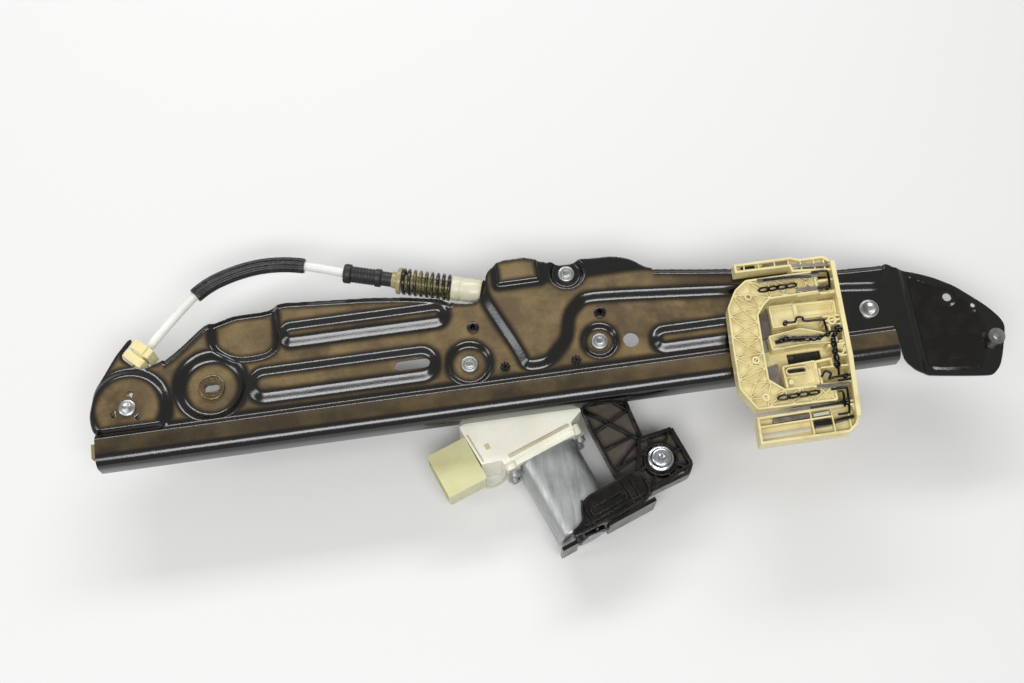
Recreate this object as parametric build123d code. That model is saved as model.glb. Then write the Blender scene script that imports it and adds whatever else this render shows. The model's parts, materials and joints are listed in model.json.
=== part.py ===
from build123d import *
import math
import os

# Cable-driven window regulator: a stamped carrier plate whose lower edge is the
# guide rail, a glass slider on that rail, two turning pulleys, a Bowden conduit
# with a slack spring, and a gear motor whose drum winds the cable behind the plate.
#
# Frame, in millimetres: origin on the axis of the locating hole, at the top face
# of the plate's web; +X along the rail towards its upper end, +Z to the glass side.

# ---------------------------------------------------------------- plate and rail
STEEL = 1.5                # thickness of the plate
DRAFT = 38.0               # degrees that stamped walls lean from upright
BEAD_RISE = 3.5
DOME_RISE = 4.0
DRUM_RISE = 4.0
OUTLET_RISE = 6.5
UPPER_RISE = 2.5
CUP_DROP = 3.0
POCKET_DROP = 4.0
BUSH_CUP_DROP = 5.0
END_DROP = 4.0             # how far the upper end steps towards the door's inside
END_STEP_X = 198.0         # where that step starts
END_STEP_RUN = 7.0
STAMP_DEPTH = 4 * (END_DROP + BUSH_CUP_DROP)   # below the deepest stamping

RAIL_TOP = 3.0             # rail face above the web
RAIL_LEFT = -380.0
RAIL_RIGHT = 187.0
RAIL_STEP_Y = -17.0        # foot of the step between web and rail
RAIL_STEP_RUN = 3.5
RAIL_BACK_Y = -40.5        # outer face of the rail's flange
RAIL_BEND = 5.0            # outer bend radius
RAIL_BOTTOM = -16.0

LOCATING_HOLE_R = 5.5
SLOT_CENTRE = (-156.0, 2.5)
SLOT_LENGTH = 25.0
SLOT_WIDTH = 7.0
UPPER_HOLE = (231.7, 1.1)
UPPER_HOLE_R = 3.25
WITNESS_HOLE = (248.6, -7.6)
WITNESS_HOLE_R = 1.75
STUD_CENTRE = (257.7, -34.6)
STUD_HOLE_R = 4.1
BUSH_CENTRE = (-298.0, 8.0)
BUSH_CUP_R = 25.0
BUSH_BODY_R = 6.0
BUSH_COLLAR_R = 9.1
BUSH_SLOT_LENGTH = 11.0
BUSH_SLOT_WIDTH = 6.4
SLOT_PAD = (-274.0, -136.0, -9.5, 15.5)      # raised stretches: x0, x1, y0, y1
BEADS = [(-249.0, -125.0, 28.0, 47.5), (14.0, 159.0, -12.5, 6.5)]
DOME_R = 29.0

# ---------------------------------------------------------------- cable and pulleys
CABLE_R = 0.75
CABLE_Z = -9.0
PULLEY_PITCH_R = 22.0
PULLEY_FLANGE = 1.6        # how far the pulley's rims stand past the pitch circle
PULLEY_WIDTH = 7.4
PULLEY_Y = -1.5
LEFT_PULLEY_X = -356.0
RIGHT_PULLEY_X = 172.4
RIVET_R = 4.0
RUNNING_GAP = 0.05         # radial clearance of a running fit
SIDE_GAP = 0.3             # clearance between faces of different moving pieces
SEAT_GAP = 0.1             # radial clearance round a rivet's shank

DRUM_CENTRE = (-70.0, 18.0)
DRUM_PITCH_R = 24.0
DRUM_RIM = 2.4
DRUM_WIDTH = 13.0
GROOVE_PITCH = 2.4
GROOVES = 5
RUN_ROWS = (1, 2)           # grooves that the two cable runs leave from
HOUSING_WALL = 2.2
HOUSING_FLOOR = 2.4
RIVET_SPOTS = [(-116.0, -1.4), (-22.0, 2.6), (-37.6, 57.1)]
RIVET_CUP_RADII = (16.5, 13.0, 13.0)
HOUSING_RIVET_R = 3.0
RIVET_DOME_R = 6.2
PIN_SPOTS = [(-110.0, 25.0), (-18.6, 23.6)]
SNAP_SPOTS = [(-91.4, -7.9), (-41.0, -10.0)]
PIN_R = 3.0
SNAP_R = 2.0
SLIT_TURNS = (75, 200, 315)  # sight slits in the dome over the left pulley, degrees
SLIT_RADIUS = 10.6

# ---------------------------------------------------------------- conduit and slack spring
CONDUIT_R = 3.3
CONDUIT_BORE_R = 1.1
SLEEVE_R = 5.4
CLIP_CENTRE = (-347.8, 39.3)
CLIP_ANGLE = 47.0
TENSIONER_START = (-196.5, 83.6)
TENSIONER_ANGLE = -16.6
BOOT_LENGTH = 35.0
BOOT_R = 6.4
RING_LENGTH = 7.0
SPRING_LENGTH = 37.0
SPRING_R = 9.8
WIRE_R = 1.1
SPRING_COILS = 8
FERRULE_LENGTH = 21.5
FERRULE_R = 8.7

# ---------------------------------------------------------------- motor
MOTOR_START = (-70.2, -64.9)   # the motor's axis where the steel can begins
MOTOR_ANGLE = -69.5            # direction of the can away from the gears
MOTOR_Z = -42.0
CAN_WIDTH = 45.0
CAN_HEIGHT = 34.0
CAN_LENGTH = 62.0
CAN_WALL = 1.6
SHAFT_R = 2.5
END_BOSS_R = 9.0               # bearing boss at the can's closed end
END_BOSS_LENGTH = 6.0
COMMUTATOR_R = 7.0
COMMUTATOR_LENGTH = 12.0
MAGNET_THICKNESS = 2.8
MAGNET_START = 16.0            # from the can's open end
MAGNET_END_ROOM = 8.0          # from the magnets to the can's closed end
AIR_GAP = 0.9
WORM_R = 5.0
WORM_DISTANCE = 29.3           # drum axis to motor axis
WHEEL_WIDTH = 10.0
WHEEL_TEETH = 48
WHEEL_ROOM = 3.6               # from the wheel's teeth to the housing's wall
AXLE_R = 4.0
HUB_R = 7.5
GEAR_TOP = -18.3
GEAR_BOTTOM = -53.0
GEAR_WALL = 2.5

HOUSING_BOTTOM = CABLE_Z - DRUM_WIDTH / 2 - 0.4 - HOUSING_FLOOR
DRUM_HUB_BOTTOM = GEAR_TOP - 8
MODULE_END = -44.0
MODULE_TOP = 19.5
MODULE_LOW = -16.0
CONNECTOR_SPOT = (-19.0, -61.5)    # in the motor's frame: along, across
CONNECTOR_Z = 6.5
CONNECTOR_WIDTH = 34.0
CONNECTOR_DEPTH = 30.0
CONNECTOR_HEIGHT = 23.0
CONNECTOR_WALL = 2.0
CONNECTOR_BACK = 4.5
BOARD_TOP = -3.2
BOARD_POSTS = [(-38, -39), (-38, -21), (-18, -39)]

BOLT_CENTRE = (9.3, -82.3)
BOLT_R = 3.0
BOLT_TIP = -58.0
BOLT_SHANK_R = 3.5
BOLT_SHANK_LOW = -44.0
BOLT_FLANGE_R = 9.2
BOLT_FLANGE_HEIGHT = 1.6
BOLT_HEAD_R = 7.2
BOLT_HEAD_HEIGHT = 3.2
BOLT_HOLE_R = 3.6
BOLT_BOSS_R = 11.5
BUSH_R = 5.6
BRACKET_TOP = -27.0
BRACKET_LOW = -38.0

# ---------------------------------------------------------------- slider
CARRIER_LOW = 4.9
FRAME_LOW = 7.0
FRAME_TOP = 19.0
WALL_TOP = 22.0
LATTICE_BAYS = 11
HOOK = (96.0, 142.0)       # stretch of the rail that the slide holds, along X
NIPPLES = (106.0, 116.0)
NIPPLE_R = 2.5
WIRE_WIDTH = 1.7

BASE = (Align.CENTER, Align.CENTER, Align.MIN)
NODES = {}


def keep(name, shape):
    """Files a finished piece under its node's name."""
    NODES[name] = shape


def cyl(x, y, z0, z1, r):
    """Upright cylinder from z0 up to z1."""
    return Pos(x, y, z0) * Cylinder(r, z1 - z0, align=BASE)


def pipe(x, y, z0, z1, r_out, r_in):
    return cyl(x, y, z0, z1, r_out) - cyl(x, y, z0 - 1, z1 + 1, r_in)


def block(x0, x1, y0, y1, z0, z1):
    """Box between two corners."""
    centre = Pos((x0 + x1) / 2, (y0 + y1) / 2, (z0 + z1) / 2)
    return centre * Box(x1 - x0, y1 - y0, z1 - z0)


def prism(points, z0, z1, corner=0.0):
    """Upright prism over an outline, its upright edges rounded by corner."""
    face = make_face(Polyline(*points, close=True))
    solid = Pos(0, 0, z0) * extrude(face, amount=z1 - z0)
    if corner > 0:
        solid = fillet(solid.edges().filter_by(Axis.Z), corner)
    return solid


def stadium(x0, x1, y0, y1):
    """Flat face with round ends, long along X."""
    width = y1 - y0
    return Pos((x0 + x1) / 2, (y0 + y1) / 2) * SlotOverall(x1 - x0, width)


def frustum(face, rise, draft=DRAFT):
    """Leaning-walled bump that stands on the web's top face."""
    return extrude(face, amount=rise, taper=draft)


def dent(face, drop, draft=DRAFT):
    """Leaning-walled cup below the web's top face."""
    return extrude(face, amount=drop, dir=(0, 0, -1), taper=draft)


def along(start, angle, z):
    """Location whose local X runs along a direction in the plate's plane."""
    return Location((start[0], start[1], z), (0, 0, angle))


def axial(start, angle, z, s0, s1, r_start, r_end=None):
    """Cylinder or cone along a direction in the plate's plane."""
    r_end = r_start if r_end is None else r_end
    turned = Rot(0, 90, 0)
    if r_start == r_end:
        body = Cylinder(r_start, s1 - s0, align=BASE)
    else:
        body = Cone(r_start, r_end, s1 - s0, align=BASE)
    return along(start, angle, z) * Pos(s0, 0, 0) * turned * body


# ---------------------------------------------------------------- carrier plate
OUTLINE = [
    (-380, RAIL_STEP_Y), (-382, -12), (-383, -4), (-380.5, 5), (-378.5, 16),
    (-363, 40), (-353, 51.5), (-350.6, 49.4), (-360.6, 39), (-348, 26.6), (-338, 29),
    (-328, 33), (-318, 40), (-300, 55), (-279, 61), (-256, 61), (-244, 64.3),
    (-180, 59.3), (-153, 55.7), (-130, 51.4), (-122, 45.7),
    (-108.6, 43.5), (-102, 45.5), (-97.5, 52), (-95.5, 64), (-86, 70.7), (-67, 71.4),
    (-51, 65.7),
    (-4, 64.3), (8.6, 60.7), (20, 51.4), (50, 47), (80, 43), (157, 31), (192, 30),
    (214.1, 22.5), (225.5, 17.5), (239.3, 8.8), (257.9, -9), (265.2, -18.7), (267.5, -25),
    (266.2, -31), (260.3, -47.3), (256.5, -55.3), (250.9, -60.5), (247.5, -61.1),
    (234.9, -59.6), (216.1, -56.9), (200.5, -54.3), (194.9, -50.8), (189, -43),
    (187.5, RAIL_STEP_Y),
]


def stamped_form():
    """Solid whose top is the plate's stamped top face."""
    form = prism(OUTLINE, -STAMP_DEPTH, 0)
    for stretch in BEADS + [SLOT_PAD]:
        form += frustum(stadium(*stretch), BEAD_RISE)
    dome = Pos(LEFT_PULLEY_X, PULLEY_Y) * Circle(DOME_R)
    form += frustum(dome, DOME_RISE)
    drum_cover = make_face(Polyline(
        (-101, 44), (-95, 49.5), (-35, 49.5), (-31, 30), (-38, 22), (-41, 5), (-60, -13),
        (-79, -13), (-84, 2), close=True))
    form += frustum(drum_cover, DRUM_RISE)
    outlet = make_face(Polyline((-97, 45), (-93, 75), (-54, 75), (-50, 45), close=True))
    form += frustum(outlet, OUTLET_RISE)
    upper = make_face(Polyline(
        (-26, 80), (-26, 34), (-3, 32.5), (80, 24.5), (184, 12), (200, 34), (150, 80),
        close=True))
    form += frustum(upper, UPPER_RISE)
    pocket = make_face(Polyline(
        (-297, 66), (-297, 32), (-280, 23), (-258, 23), (-250, 31), (-250, 66), close=True))
    form -= dent(pocket, POCKET_DROP)
    form -= dent(Pos(*BUSH_CENTRE) * Circle(BUSH_CUP_R), BUSH_CUP_DROP)
    for spot, r in zip(RIVET_SPOTS, RIVET_CUP_RADII):
        cup = Pos(*spot) * Circle(r)
        form -= dent(cup, CUP_DROP)
        form -= Pos(0, 0, OUTLET_RISE) * extrude(cup, amount=-OUTLET_RISE)
    trimmed = form & prism(OUTLINE, -STAMP_DEPTH, 2 * OUTLET_RISE)
    return trimmed - upper_end_void()


def upper_end_void():
    """Space above the upper end, which steps down towards the door's inside."""
    far = 2 * END_STEP_X
    step = Polyline(
        (END_STEP_X, STAMP_DEPTH), (END_STEP_X, 0), (END_STEP_X + END_STEP_RUN, -END_DROP),
        (far, -END_DROP), (far, STAMP_DEPTH), close=True)
    face = make_face(Plane.XZ * step)
    return Pos(0, far, 0) * extrude(face, amount=2 * far, dir=(0, -1, 0))


def rail_profile():
    """Section of the guide rail in the Y-Z plane: step, face, bend and flange."""
    foot = RAIL_STEP_Y
    face_start = foot - RAIL_STEP_RUN
    bend_start = RAIL_BACK_Y + RAIL_BEND
    inner = RAIL_BEND - STEEL
    with BuildSketch(Plane.YZ) as section:
        with BuildLine():
            top = Polyline((foot, 0), (face_start, RAIL_TOP), (bend_start, RAIL_TOP))
            outer = RadiusArc(top @ 1, (RAIL_BACK_Y, RAIL_TOP - RAIL_BEND), -RAIL_BEND)
            lip = Polyline(
                outer @ 1, (RAIL_BACK_Y, RAIL_BOTTOM), (RAIL_BACK_Y + STEEL, RAIL_BOTTOM),
                (RAIL_BACK_Y + STEEL, RAIL_TOP - RAIL_BEND))
            bend = RadiusArc(lip @ 1, (bend_start, RAIL_TOP - STEEL), inner)
            Polyline(bend @ 1, (face_start - 0.6, RAIL_TOP - STEEL),
                     (foot - 0.6, -STEEL), (foot, -STEEL), (foot, 0))
        make_face()
    return section.sketch


def guide_rail():
    return extrude(rail_profile(), amount=RAIL_RIGHT - RAIL_LEFT, dir=(1, 0, 0))


def clip_bracket():
    """Flange bent down from the plate that holds the conduit clip in a U-slot."""
    flange = Box(STEEL, 20, 15)
    notch = Box(3 * STEEL, 9.4, 30)
    plate = flange - notch
    for side in (-1, 1):
        plate += Pos(-6.5, side * 11.2, 6.75) * Box(15, 4.6, STEEL)
    return along(CLIP_CENTRE, CLIP_ANGLE, CABLE_Z + 0.5) * plate


def carrier_plate():
    form = stamped_form()
    skin = form - Pos(0, 0, -STEEL) * form
    skin += Pos(RAIL_LEFT, 0, 0) * guide_rail()
    skin += clip_bracket()
    holes = cyl(0, 0, -5, 5, LOCATING_HOLE_R)
    cut = Pos(*SLOT_CENTRE) * SlotOverall(SLOT_LENGTH, SLOT_WIDTH)
    holes += Pos(0, 0, -8) * extrude(cut, amount=20)
    end_low = -END_DROP - 2 * STEEL
    holes += cyl(*UPPER_HOLE, end_low, 0, UPPER_HOLE_R)
    holes += cyl(*WITNESS_HOLE, end_low, 0, WITNESS_HOLE_R)
    holes += cyl(*STUD_CENTRE, end_low, 0, STUD_HOLE_R)
    for x in (LEFT_PULLEY_X, RIGHT_PULLEY_X):
        holes += cyl(x, PULLEY_Y, -5, 8, RIVET_R + SEAT_GAP)
    for spot in RIVET_SPOTS:
        holes += cyl(*spot, -8, 8, HOUSING_RIVET_R + SEAT_GAP)
    for spot in PIN_SPOTS:
        holes += cyl(*spot, -8, 8, PIN_R + SEAT_GAP)
    for spot in SNAP_SPOTS:
        holes += cyl(*spot, -8, 8, SNAP_R + SEAT_GAP)
    holes += cyl(*BUSH_CENTRE, -12, 3, BUSH_BODY_R + SEAT_GAP)
    for turn in SLIT_TURNS:
        slit = Rot(0, 0, turn) * Pos(SLIT_RADIUS, 0, 0) * Box(2.2, 4.4, 30)
        holes += Pos(LEFT_PULLEY_X, PULLEY_Y, 0) * slit
    return skin - holes


keep("carrier_plate", carrier_plate())


# ---------------------------------------------------------------- pulleys, cable and fasteners
def turning_pulley(x):
    """Grooved plastic wheel on its rivet."""
    half = PULLEY_WIDTH / 2
    rim = PULLEY_PITCH_R + PULLEY_FLANGE
    root = PULLEY_PITCH_R - CABLE_R - SIDE_GAP
    hub = RIVET_R + RUNNING_GAP
    throat = CABLE_R + SIDE_GAP
    section = make_face(Polyline(
        (hub, -half), (9, -half), (11, -half + 1.6), (17, -half + 1.6), (19, -2.6), (rim, -2.6),
        (root, -throat), (root, throat),
        (rim, 2.6), (19, 2.6), (17, half - 1.6), (11, half - 1.6), (9, half), (hub, half),
        close=True))
    wheel = revolve(Plane.XZ * section, Axis.Z)
    for turn in range(6):
        wheel -= Rot(0, 0, 60 * turn + 30) * cyl(13.9, 0, -9, 9, 2.0)
    return Pos(x, PULLEY_Y, CABLE_Z) * wheel


def pulley_rivet(x, top, head_r):
    """Riveted axle: head on the plate, spacer collar below it, end flange."""
    half = PULLEY_WIDTH / 2 + SIDE_GAP
    under = top - STEEL
    rivet = cyl(x, PULLEY_Y, CABLE_Z - half - 2.6, top, RIVET_R)
    rivet += cyl(x, PULLEY_Y, top, top + 1.5, head_r)
    rivet += cyl(x, PULLEY_Y, CABLE_Z + half, under, RIVET_R + 2.5)
    rivet += cyl(x, PULLEY_Y, CABLE_Z - half - 1.6, CABLE_Z - half, RIVET_R + 3.5)
    rivet = rivet - cyl(x, PULLEY_Y, top + 0.6, top + 3, head_r * 0.55)
    return rivet


def groove_level(row):
    """Height of one of the drum's grooves."""
    return CABLE_Z + (row - (GROOVES - 1) / 2) * GROOVE_PITCH


def drum():
    """Cable drum with its grooves and the splined hub that the wheel drives."""
    z0 = CABLE_Z - DRUM_WIDTH / 2
    body = cyl(*DRUM_CENTRE, z0, z0 + DRUM_WIDTH, DRUM_PITCH_R + DRUM_RIM - 1.2)
    for row in range(GROOVES):
        z = groove_level(row)
        room = CABLE_R + (SIDE_GAP if row in RUN_ROWS else SIDE_GAP / 3)
        body -= Pos(*DRUM_CENTRE, z) * Torus(DRUM_PITCH_R, room)
        body -= pipe(*DRUM_CENTRE, z - room, z + room, 40, DRUM_PITCH_R)
    body -= cyl(*DRUM_CENTRE, z0 + 3, z0 + 40, 17)
    body += cyl(*DRUM_CENTRE, z0, z0 + DRUM_WIDTH - 2, HUB_R + 1.5)
    body += cyl(*DRUM_CENTRE, DRUM_HUB_BOTTOM, z0, HUB_R)
    body -= cyl(*DRUM_CENTRE, DRUM_HUB_BOTTOM - 2, 10, AXLE_R + RUNNING_GAP)
    for turn in range(6):
        web = Pos(13, 0, z0 + 5) * Box(9, 1.8, 6)
        body += Pos(*DRUM_CENTRE) * Rot(0, 0, 60 * turn) * web
    return body


def cable_windings():
    """Turns of cable that lie in the drum's grooves."""
    rows = [row for row in range(GROOVES) if row not in RUN_ROWS]
    turns = []
    for row in rows:
        turns.append(Pos(*DRUM_CENTRE, groove_level(row)) * Torus(DRUM_PITCH_R, CABLE_R))
    return Compound(turns)


def polar(centre, r, degrees):
    angle = math.radians(degrees)
    return (centre[0] + r * math.cos(angle), centre[1] + r * math.sin(angle))


CONDUIT_ROUTE = [
    (-341.8, 45.8), (-322.0, 66.6), (-301.0, 86.3), (-278.0, 95.0), (-252.0, 98.6),
    (-223.0, 93.9), (-194.8, 83.2),
]


def mid(a, b, share):
    """Point a share of the way from a to b."""
    return (a[0] + (b[0] - a[0]) * share, a[1] + (b[1] - a[1]) * share)


def corner_radii(points, share=0.45):
    """Largest even radii: a share of the shorter run over the tangent of half the turn."""
    radii = []
    for before, here, after in zip(points, points[1:], points[2:]):
        run_in = Vector(*here) - Vector(*before)
        run_out = Vector(*after) - Vector(*here)
        turn = math.radians(run_in.get_angle(run_out))
        radii.append(share * min(run_in.length, run_out.length) / math.tan(turn / 2))
    return radii


def rounded_path(points, radii):
    placed = [(x, y, CABLE_Z) for x, y in points]
    return FilletPolyline(*placed, radius=radii)


def tube_along(path, r_out, r_in=0.0):
    """Round tube or rod swept along a path of runs and tangent arcs."""
    start = Plane(origin=path @ 0, z_dir=path % 0)
    rod = sweep(start * Circle(r_out), path=path)
    if r_in > 0:
        rod -= sweep(start * Circle(r_in), path=path)
    return rod


def rail_cable():
    """Cable that runs along the rail, round the left pulley, through the conduit."""
    left = (LEFT_PULLEY_X, PULLEY_Y)
    turn_in = polar(left, PULLEY_PITCH_R, 270)
    wrap_end = polar(left, PULLEY_PITCH_R, CLIP_ANGLE + 90)
    wrap_mid = polar(left, PULLEY_PITCH_R, (CLIP_ANGLE + 90 + 270) / 2)
    far = (RIGHT_PULLEY_X, turn_in[1])
    z = CABLE_Z
    run = Line((*far, z), (*turn_in, z))
    wrap = ThreePointArc((*turn_in, z), (*wrap_mid, z), (*wrap_end, z))
    ferrule_end = along(TENSIONER_START, TENSIONER_ANGLE, z) * Pos(reach("ferrule"), 0, 0)
    exit_point = ferrule_end.position
    reach_out = Vector(exit_point.X - DRUM_CENTRE[0], exit_point.Y - DRUM_CENTRE[1])
    bearing = math.degrees(math.atan2(reach_out.Y, reach_out.X))
    opening = math.degrees(math.acos(DRUM_PITCH_R / reach_out.length))
    drum_point = polar(DRUM_CENTRE, DRUM_PITCH_R, bearing - opening)
    inside = [wrap_end] + CONDUIT_ROUTE[1:]
    radii = corner_radii(inside)
    lead = FilletPolyline(*[(x, y, z) for x, y in inside], radius=radii)
    straight = Line(lead @ 1, exit_point)
    tail = Line(exit_point, (*drum_point, groove_level(RUN_ROWS[1])))
    pieces = [run, wrap, lead, straight, tail]
    rods = []
    for piece in pieces:
        start = Plane(origin=piece @ 0, z_dir=piece % 0)
        rods.append(sweep(start * Circle(CABLE_R), path=piece))
    return Compound(rods)


def return_cable():
    """Cable from the rail's upper end, round the right pulley, back to the drum."""
    right = (RIGHT_PULLEY_X, PULLEY_Y)
    across = Vector(right[0] - DRUM_CENTRE[0], right[1] - DRUM_CENTRE[1])
    lean = math.degrees(math.atan2(across.Y, across.X))
    tilt = math.degrees(math.asin((DRUM_PITCH_R - PULLEY_PITCH_R) / across.length))
    normal = 90 + lean - tilt
    z = CABLE_Z
    start = polar(right, PULLEY_PITCH_R, 270)
    middle = polar(right, PULLEY_PITCH_R, (270 + 360 + normal) / 2)
    leave = polar(right, PULLEY_PITCH_R, normal)
    land = polar(DRUM_CENTRE, DRUM_PITCH_R, normal)
    wrap = ThreePointArc((*start, z), (*middle, z), (*leave, z))
    run = Line((*leave, z), (*land, groove_level(RUN_ROWS[0])))
    rods = []
    for piece in (wrap, run):
        plane = Plane(origin=piece @ 0, z_dir=piece % 0)
        rods.append(sweep(plane * Circle(CABLE_R), path=piece))
    return Compound(rods)


def reach(part):
    """Distance along the slack spring's axis where a part of it ends."""
    ends = {"boot": BOOT_LENGTH}
    ends["ring"] = ends["boot"] + RING_LENGTH
    ends["spring"] = ends["ring"] + SPRING_LENGTH
    ends["ferrule"] = ends["spring"] + FERRULE_LENGTH
    return ends[part]


def bowden_conduit():
    path = rounded_path(CONDUIT_ROUTE, corner_radii(CONDUIT_ROUTE))
    return tube_along(path, CONDUIT_R, CONDUIT_BORE_R)


def conduit_sleeve():
    """Ribbed rubber sleeve over the bend of the conduit."""
    start = mid(CONDUIT_ROUTE[1], CONDUIT_ROUTE[2], 0.56)
    stop = mid(CONDUIT_ROUTE[4], CONDUIT_ROUTE[5], 0.93)
    points = [start] + CONDUIT_ROUTE[2:5] + [stop]
    path = rounded_path(points, corner_radii(CONDUIT_ROUTE)[1:4])
    return tube_along(path, SLEEVE_R, CONDUIT_R + 0.2)


def conduit_clip():
    """Plastic end clip that snaps into the plate's bent flange."""
    depth = 19.0
    head = Pos(-4.2, 0, 0) * Box(6.4, 16.5, depth)
    nose = Pos(4.6, 0, 0) * Box(7.2, 16.5, depth)
    neck = Box(4, 8.8, depth - 3)
    ridge = Pos(4.6, 0, depth / 2 + 0.6) * Box(7.2, 7, 1.2)
    clip = fillet((head + nose).edges().filter_by(Axis.X), 1.2) + neck + ridge
    bore = Pos(-10, 0, 0) * Rot(0, 90, 0) * Cylinder(CONDUIT_BORE_R, 30, align=BASE)
    return along(CLIP_CENTRE, CLIP_ANGLE, CABLE_Z) * (clip - bore)


def boot():
    """Rubber boot with two rings, over the end of the conduit."""
    s = BOOT_LENGTH
    body = axial(TENSIONER_START, TENSIONER_ANGLE, CABLE_Z, 0, s, BOOT_R, BOOT_R - 1.2)
    for at in (1.5, 6.5, 13.0, 19.5, 26.0):
        body += axial(TENSIONER_START, TENSIONER_ANGLE, CABLE_Z, at, at + 2.6, BOOT_R + 0.5)
    body -= axial(TENSIONER_START, TENSIONER_ANGLE, CABLE_Z, -1, 6, CONDUIT_R + 0.5)
    return body - axial(TENSIONER_START, TENSIONER_ANGLE, CABLE_Z, -1, s + 1, CONDUIT_BORE_R)


def tension_ring():
    s0 = reach("boot")
    ring = axial(TENSIONER_START, TENSIONER_ANGLE, CABLE_Z, s0, reach("ring"), 6.0)
    ring += axial(TENSIONER_START, TENSIONER_ANGLE, CABLE_Z, s0 + 4, reach("ring"), SPRING_R)
    ring += axial(TENSIONER_START, TENSIONER_ANGLE, CABLE_Z, s0, reach("spring"), 5.2)
    return ring - axial(TENSIONER_START, TENSIONER_ANGLE, CABLE_Z, s0 - 1, 200, CONDUIT_BORE_R)


def slack_spring():
    """Compression spring that takes up the cable's slack."""
    pitch = (SPRING_LENGTH - 2 * WIRE_R - 0.4) / SPRING_COILS
    centre_r = SPRING_R - WIRE_R
    coil = Helix(pitch, pitch * SPRING_COILS, centre_r)
    start = Plane(origin=coil @ 0, z_dir=coil % 0)
    wire = sweep(start * Circle(WIRE_R), path=coil, is_frenet=True)
    seat = reach("ring") + WIRE_R + 0.2
    place = along(TENSIONER_START, TENSIONER_ANGLE, CABLE_Z) * Pos(seat, 0, 0)
    return place * Rot(0, 90, 0) * wire


def cable_ferrule():
    """Tube that the slack spring pushes on; its spigot sits in the drum housing."""
    s0 = reach("spring")
    s1 = reach("ferrule")
    body = axial(TENSIONER_START, TENSIONER_ANGLE, CABLE_Z, s0, s1, FERRULE_R)
    body += axial(TENSIONER_START, TENSIONER_ANGLE, CABLE_Z, s1, s1 + 8, 5.0)
    rim = body.edges().filter_by(GeomType.CIRCLE).sort_by(SortBy.RADIUS)[-2:]
    body = fillet(rim, 1.0)
    return body - axial(TENSIONER_START, TENSIONER_ANGLE, CABLE_Z, s0 - 1, s1 + 10, 1.8)


keep("left_pulley", turning_pulley(LEFT_PULLEY_X))
keep("right_pulley", turning_pulley(RIGHT_PULLEY_X))
keep("left_pulley_rivet", pulley_rivet(LEFT_PULLEY_X, DOME_RISE, 5.2))
keep("right_pulley_rivet", pulley_rivet(RIGHT_PULLEY_X, 0.0, 6.8))
keep("cable_drum", drum())
keep("cable_windings", cable_windings())
keep("rail_cable", rail_cable())
keep("return_cable", return_cable())
keep("bowden_conduit", bowden_conduit())
keep("conduit_sleeve", conduit_sleeve())
keep("conduit_clip", conduit_clip())
keep("tension_boot", boot())
keep("tension_ring", tension_ring())
keep("slack_spring", slack_spring())
keep("cable_ferrule", cable_ferrule())


# ---------------------------------------------------------------- drum housing behind the plate
def arm_to(spot, z0, z1, r, width):
    """Boss at a spot with an arm that joins it to the drum's axis."""
    away = Vector(spot[0] - DRUM_CENTRE[0], spot[1] - DRUM_CENTRE[1])
    angle = math.degrees(math.atan2(away.Y, away.X))
    bar = Pos(away.length / 2, 0, 0) * Box(away.length, width, 4.6, align=BASE)
    return cyl(*spot, z0, z1, r) + along(DRUM_CENTRE, angle, z0) * bar


def drum_housing():
    """Cup round the drum, with its arms, feet and the ferrule's socket."""
    z0 = HOUSING_BOTTOM
    shelf = z0 + HOUSING_FLOOR
    outer = DRUM_PITCH_R + DRUM_RIM + HOUSING_WALL + 1.6
    body = cyl(*DRUM_CENTRE, z0, -STEEL, outer)
    for spot in RIVET_SPOTS:
        body += arm_to(spot, z0, -STEEL - CUP_DROP, 7.0, 12.0)
    for spot in PIN_SPOTS + SNAP_SPOTS:
        body += arm_to(spot, z0, z0 + 5.3, 5.0, 8.0)
    s0 = reach("ferrule") + 0.3
    socket = along(TENSIONER_START, TENSIONER_ANGLE, CABLE_Z) * Pos(s0, 0, 0)
    body += socket * Pos(12, 0, -1.2) * Box(24, 13.4, 15)
    body -= cyl(*DRUM_CENTRE, shelf, 5, outer - HOUSING_WALL)
    body -= cyl(*DRUM_CENTRE, z0 - 1, 5, HUB_R + SIDE_GAP)
    body -= axial(TENSIONER_START, TENSIONER_ANGLE, CABLE_Z, s0 - 1, s0 + 9, 5.1)
    body -= socket * Pos(17, -1, 1) * Box(44, 5, 6)
    gate = Pos(DRUM_CENTRE[0] + 28, DRUM_CENTRE[1] + DRUM_PITCH_R - 3, CABLE_Z)
    body -= gate * Rot(0, 0, -6) * Box(60, 5, 8)
    for spot in RIVET_SPOTS:
        body -= cyl(*spot, z0 - 1, 5, HOUSING_RIVET_R + SEAT_GAP)
    return body


def housing_rivets():
    """Three domed rivets that clamp the drum housing to the plate."""
    rivets = []
    for x, y in RIVET_SPOTS:
        seat = -CUP_DROP
        rivet = cyl(x, y, HOUSING_BOTTOM - 1.6, seat, HOUSING_RIVET_R)
        rivet += cyl(x, y, HOUSING_BOTTOM - 1.6, HOUSING_BOTTOM, HOUSING_RIVET_R + 2.5)
        rivet += cyl(x, y, seat, seat + 2.2, RIVET_DOME_R)
        top = rivet.edges().filter_by(GeomType.CIRCLE).sort_by(Axis.Z)[-1]
        rivet = fillet(top, 1.4)
        rivets.append(rivet - cyl(x, y, seat + 1.4, 5, 2.6))
    return Compound(rivets)


def locating_pins():
    """Hollow pins of the drum housing, rolled over on the plate."""
    pins = []
    for x, y in PIN_SPOTS:
        pin = cyl(x, y, HOUSING_BOTTOM + 5.3, 0, PIN_R)
        pin += cyl(x, y, 0, 1.0, 4.2)
        pins.append(pin - cyl(x, y, -6, 5, 1.8))
    return Compound(pins)


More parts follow.
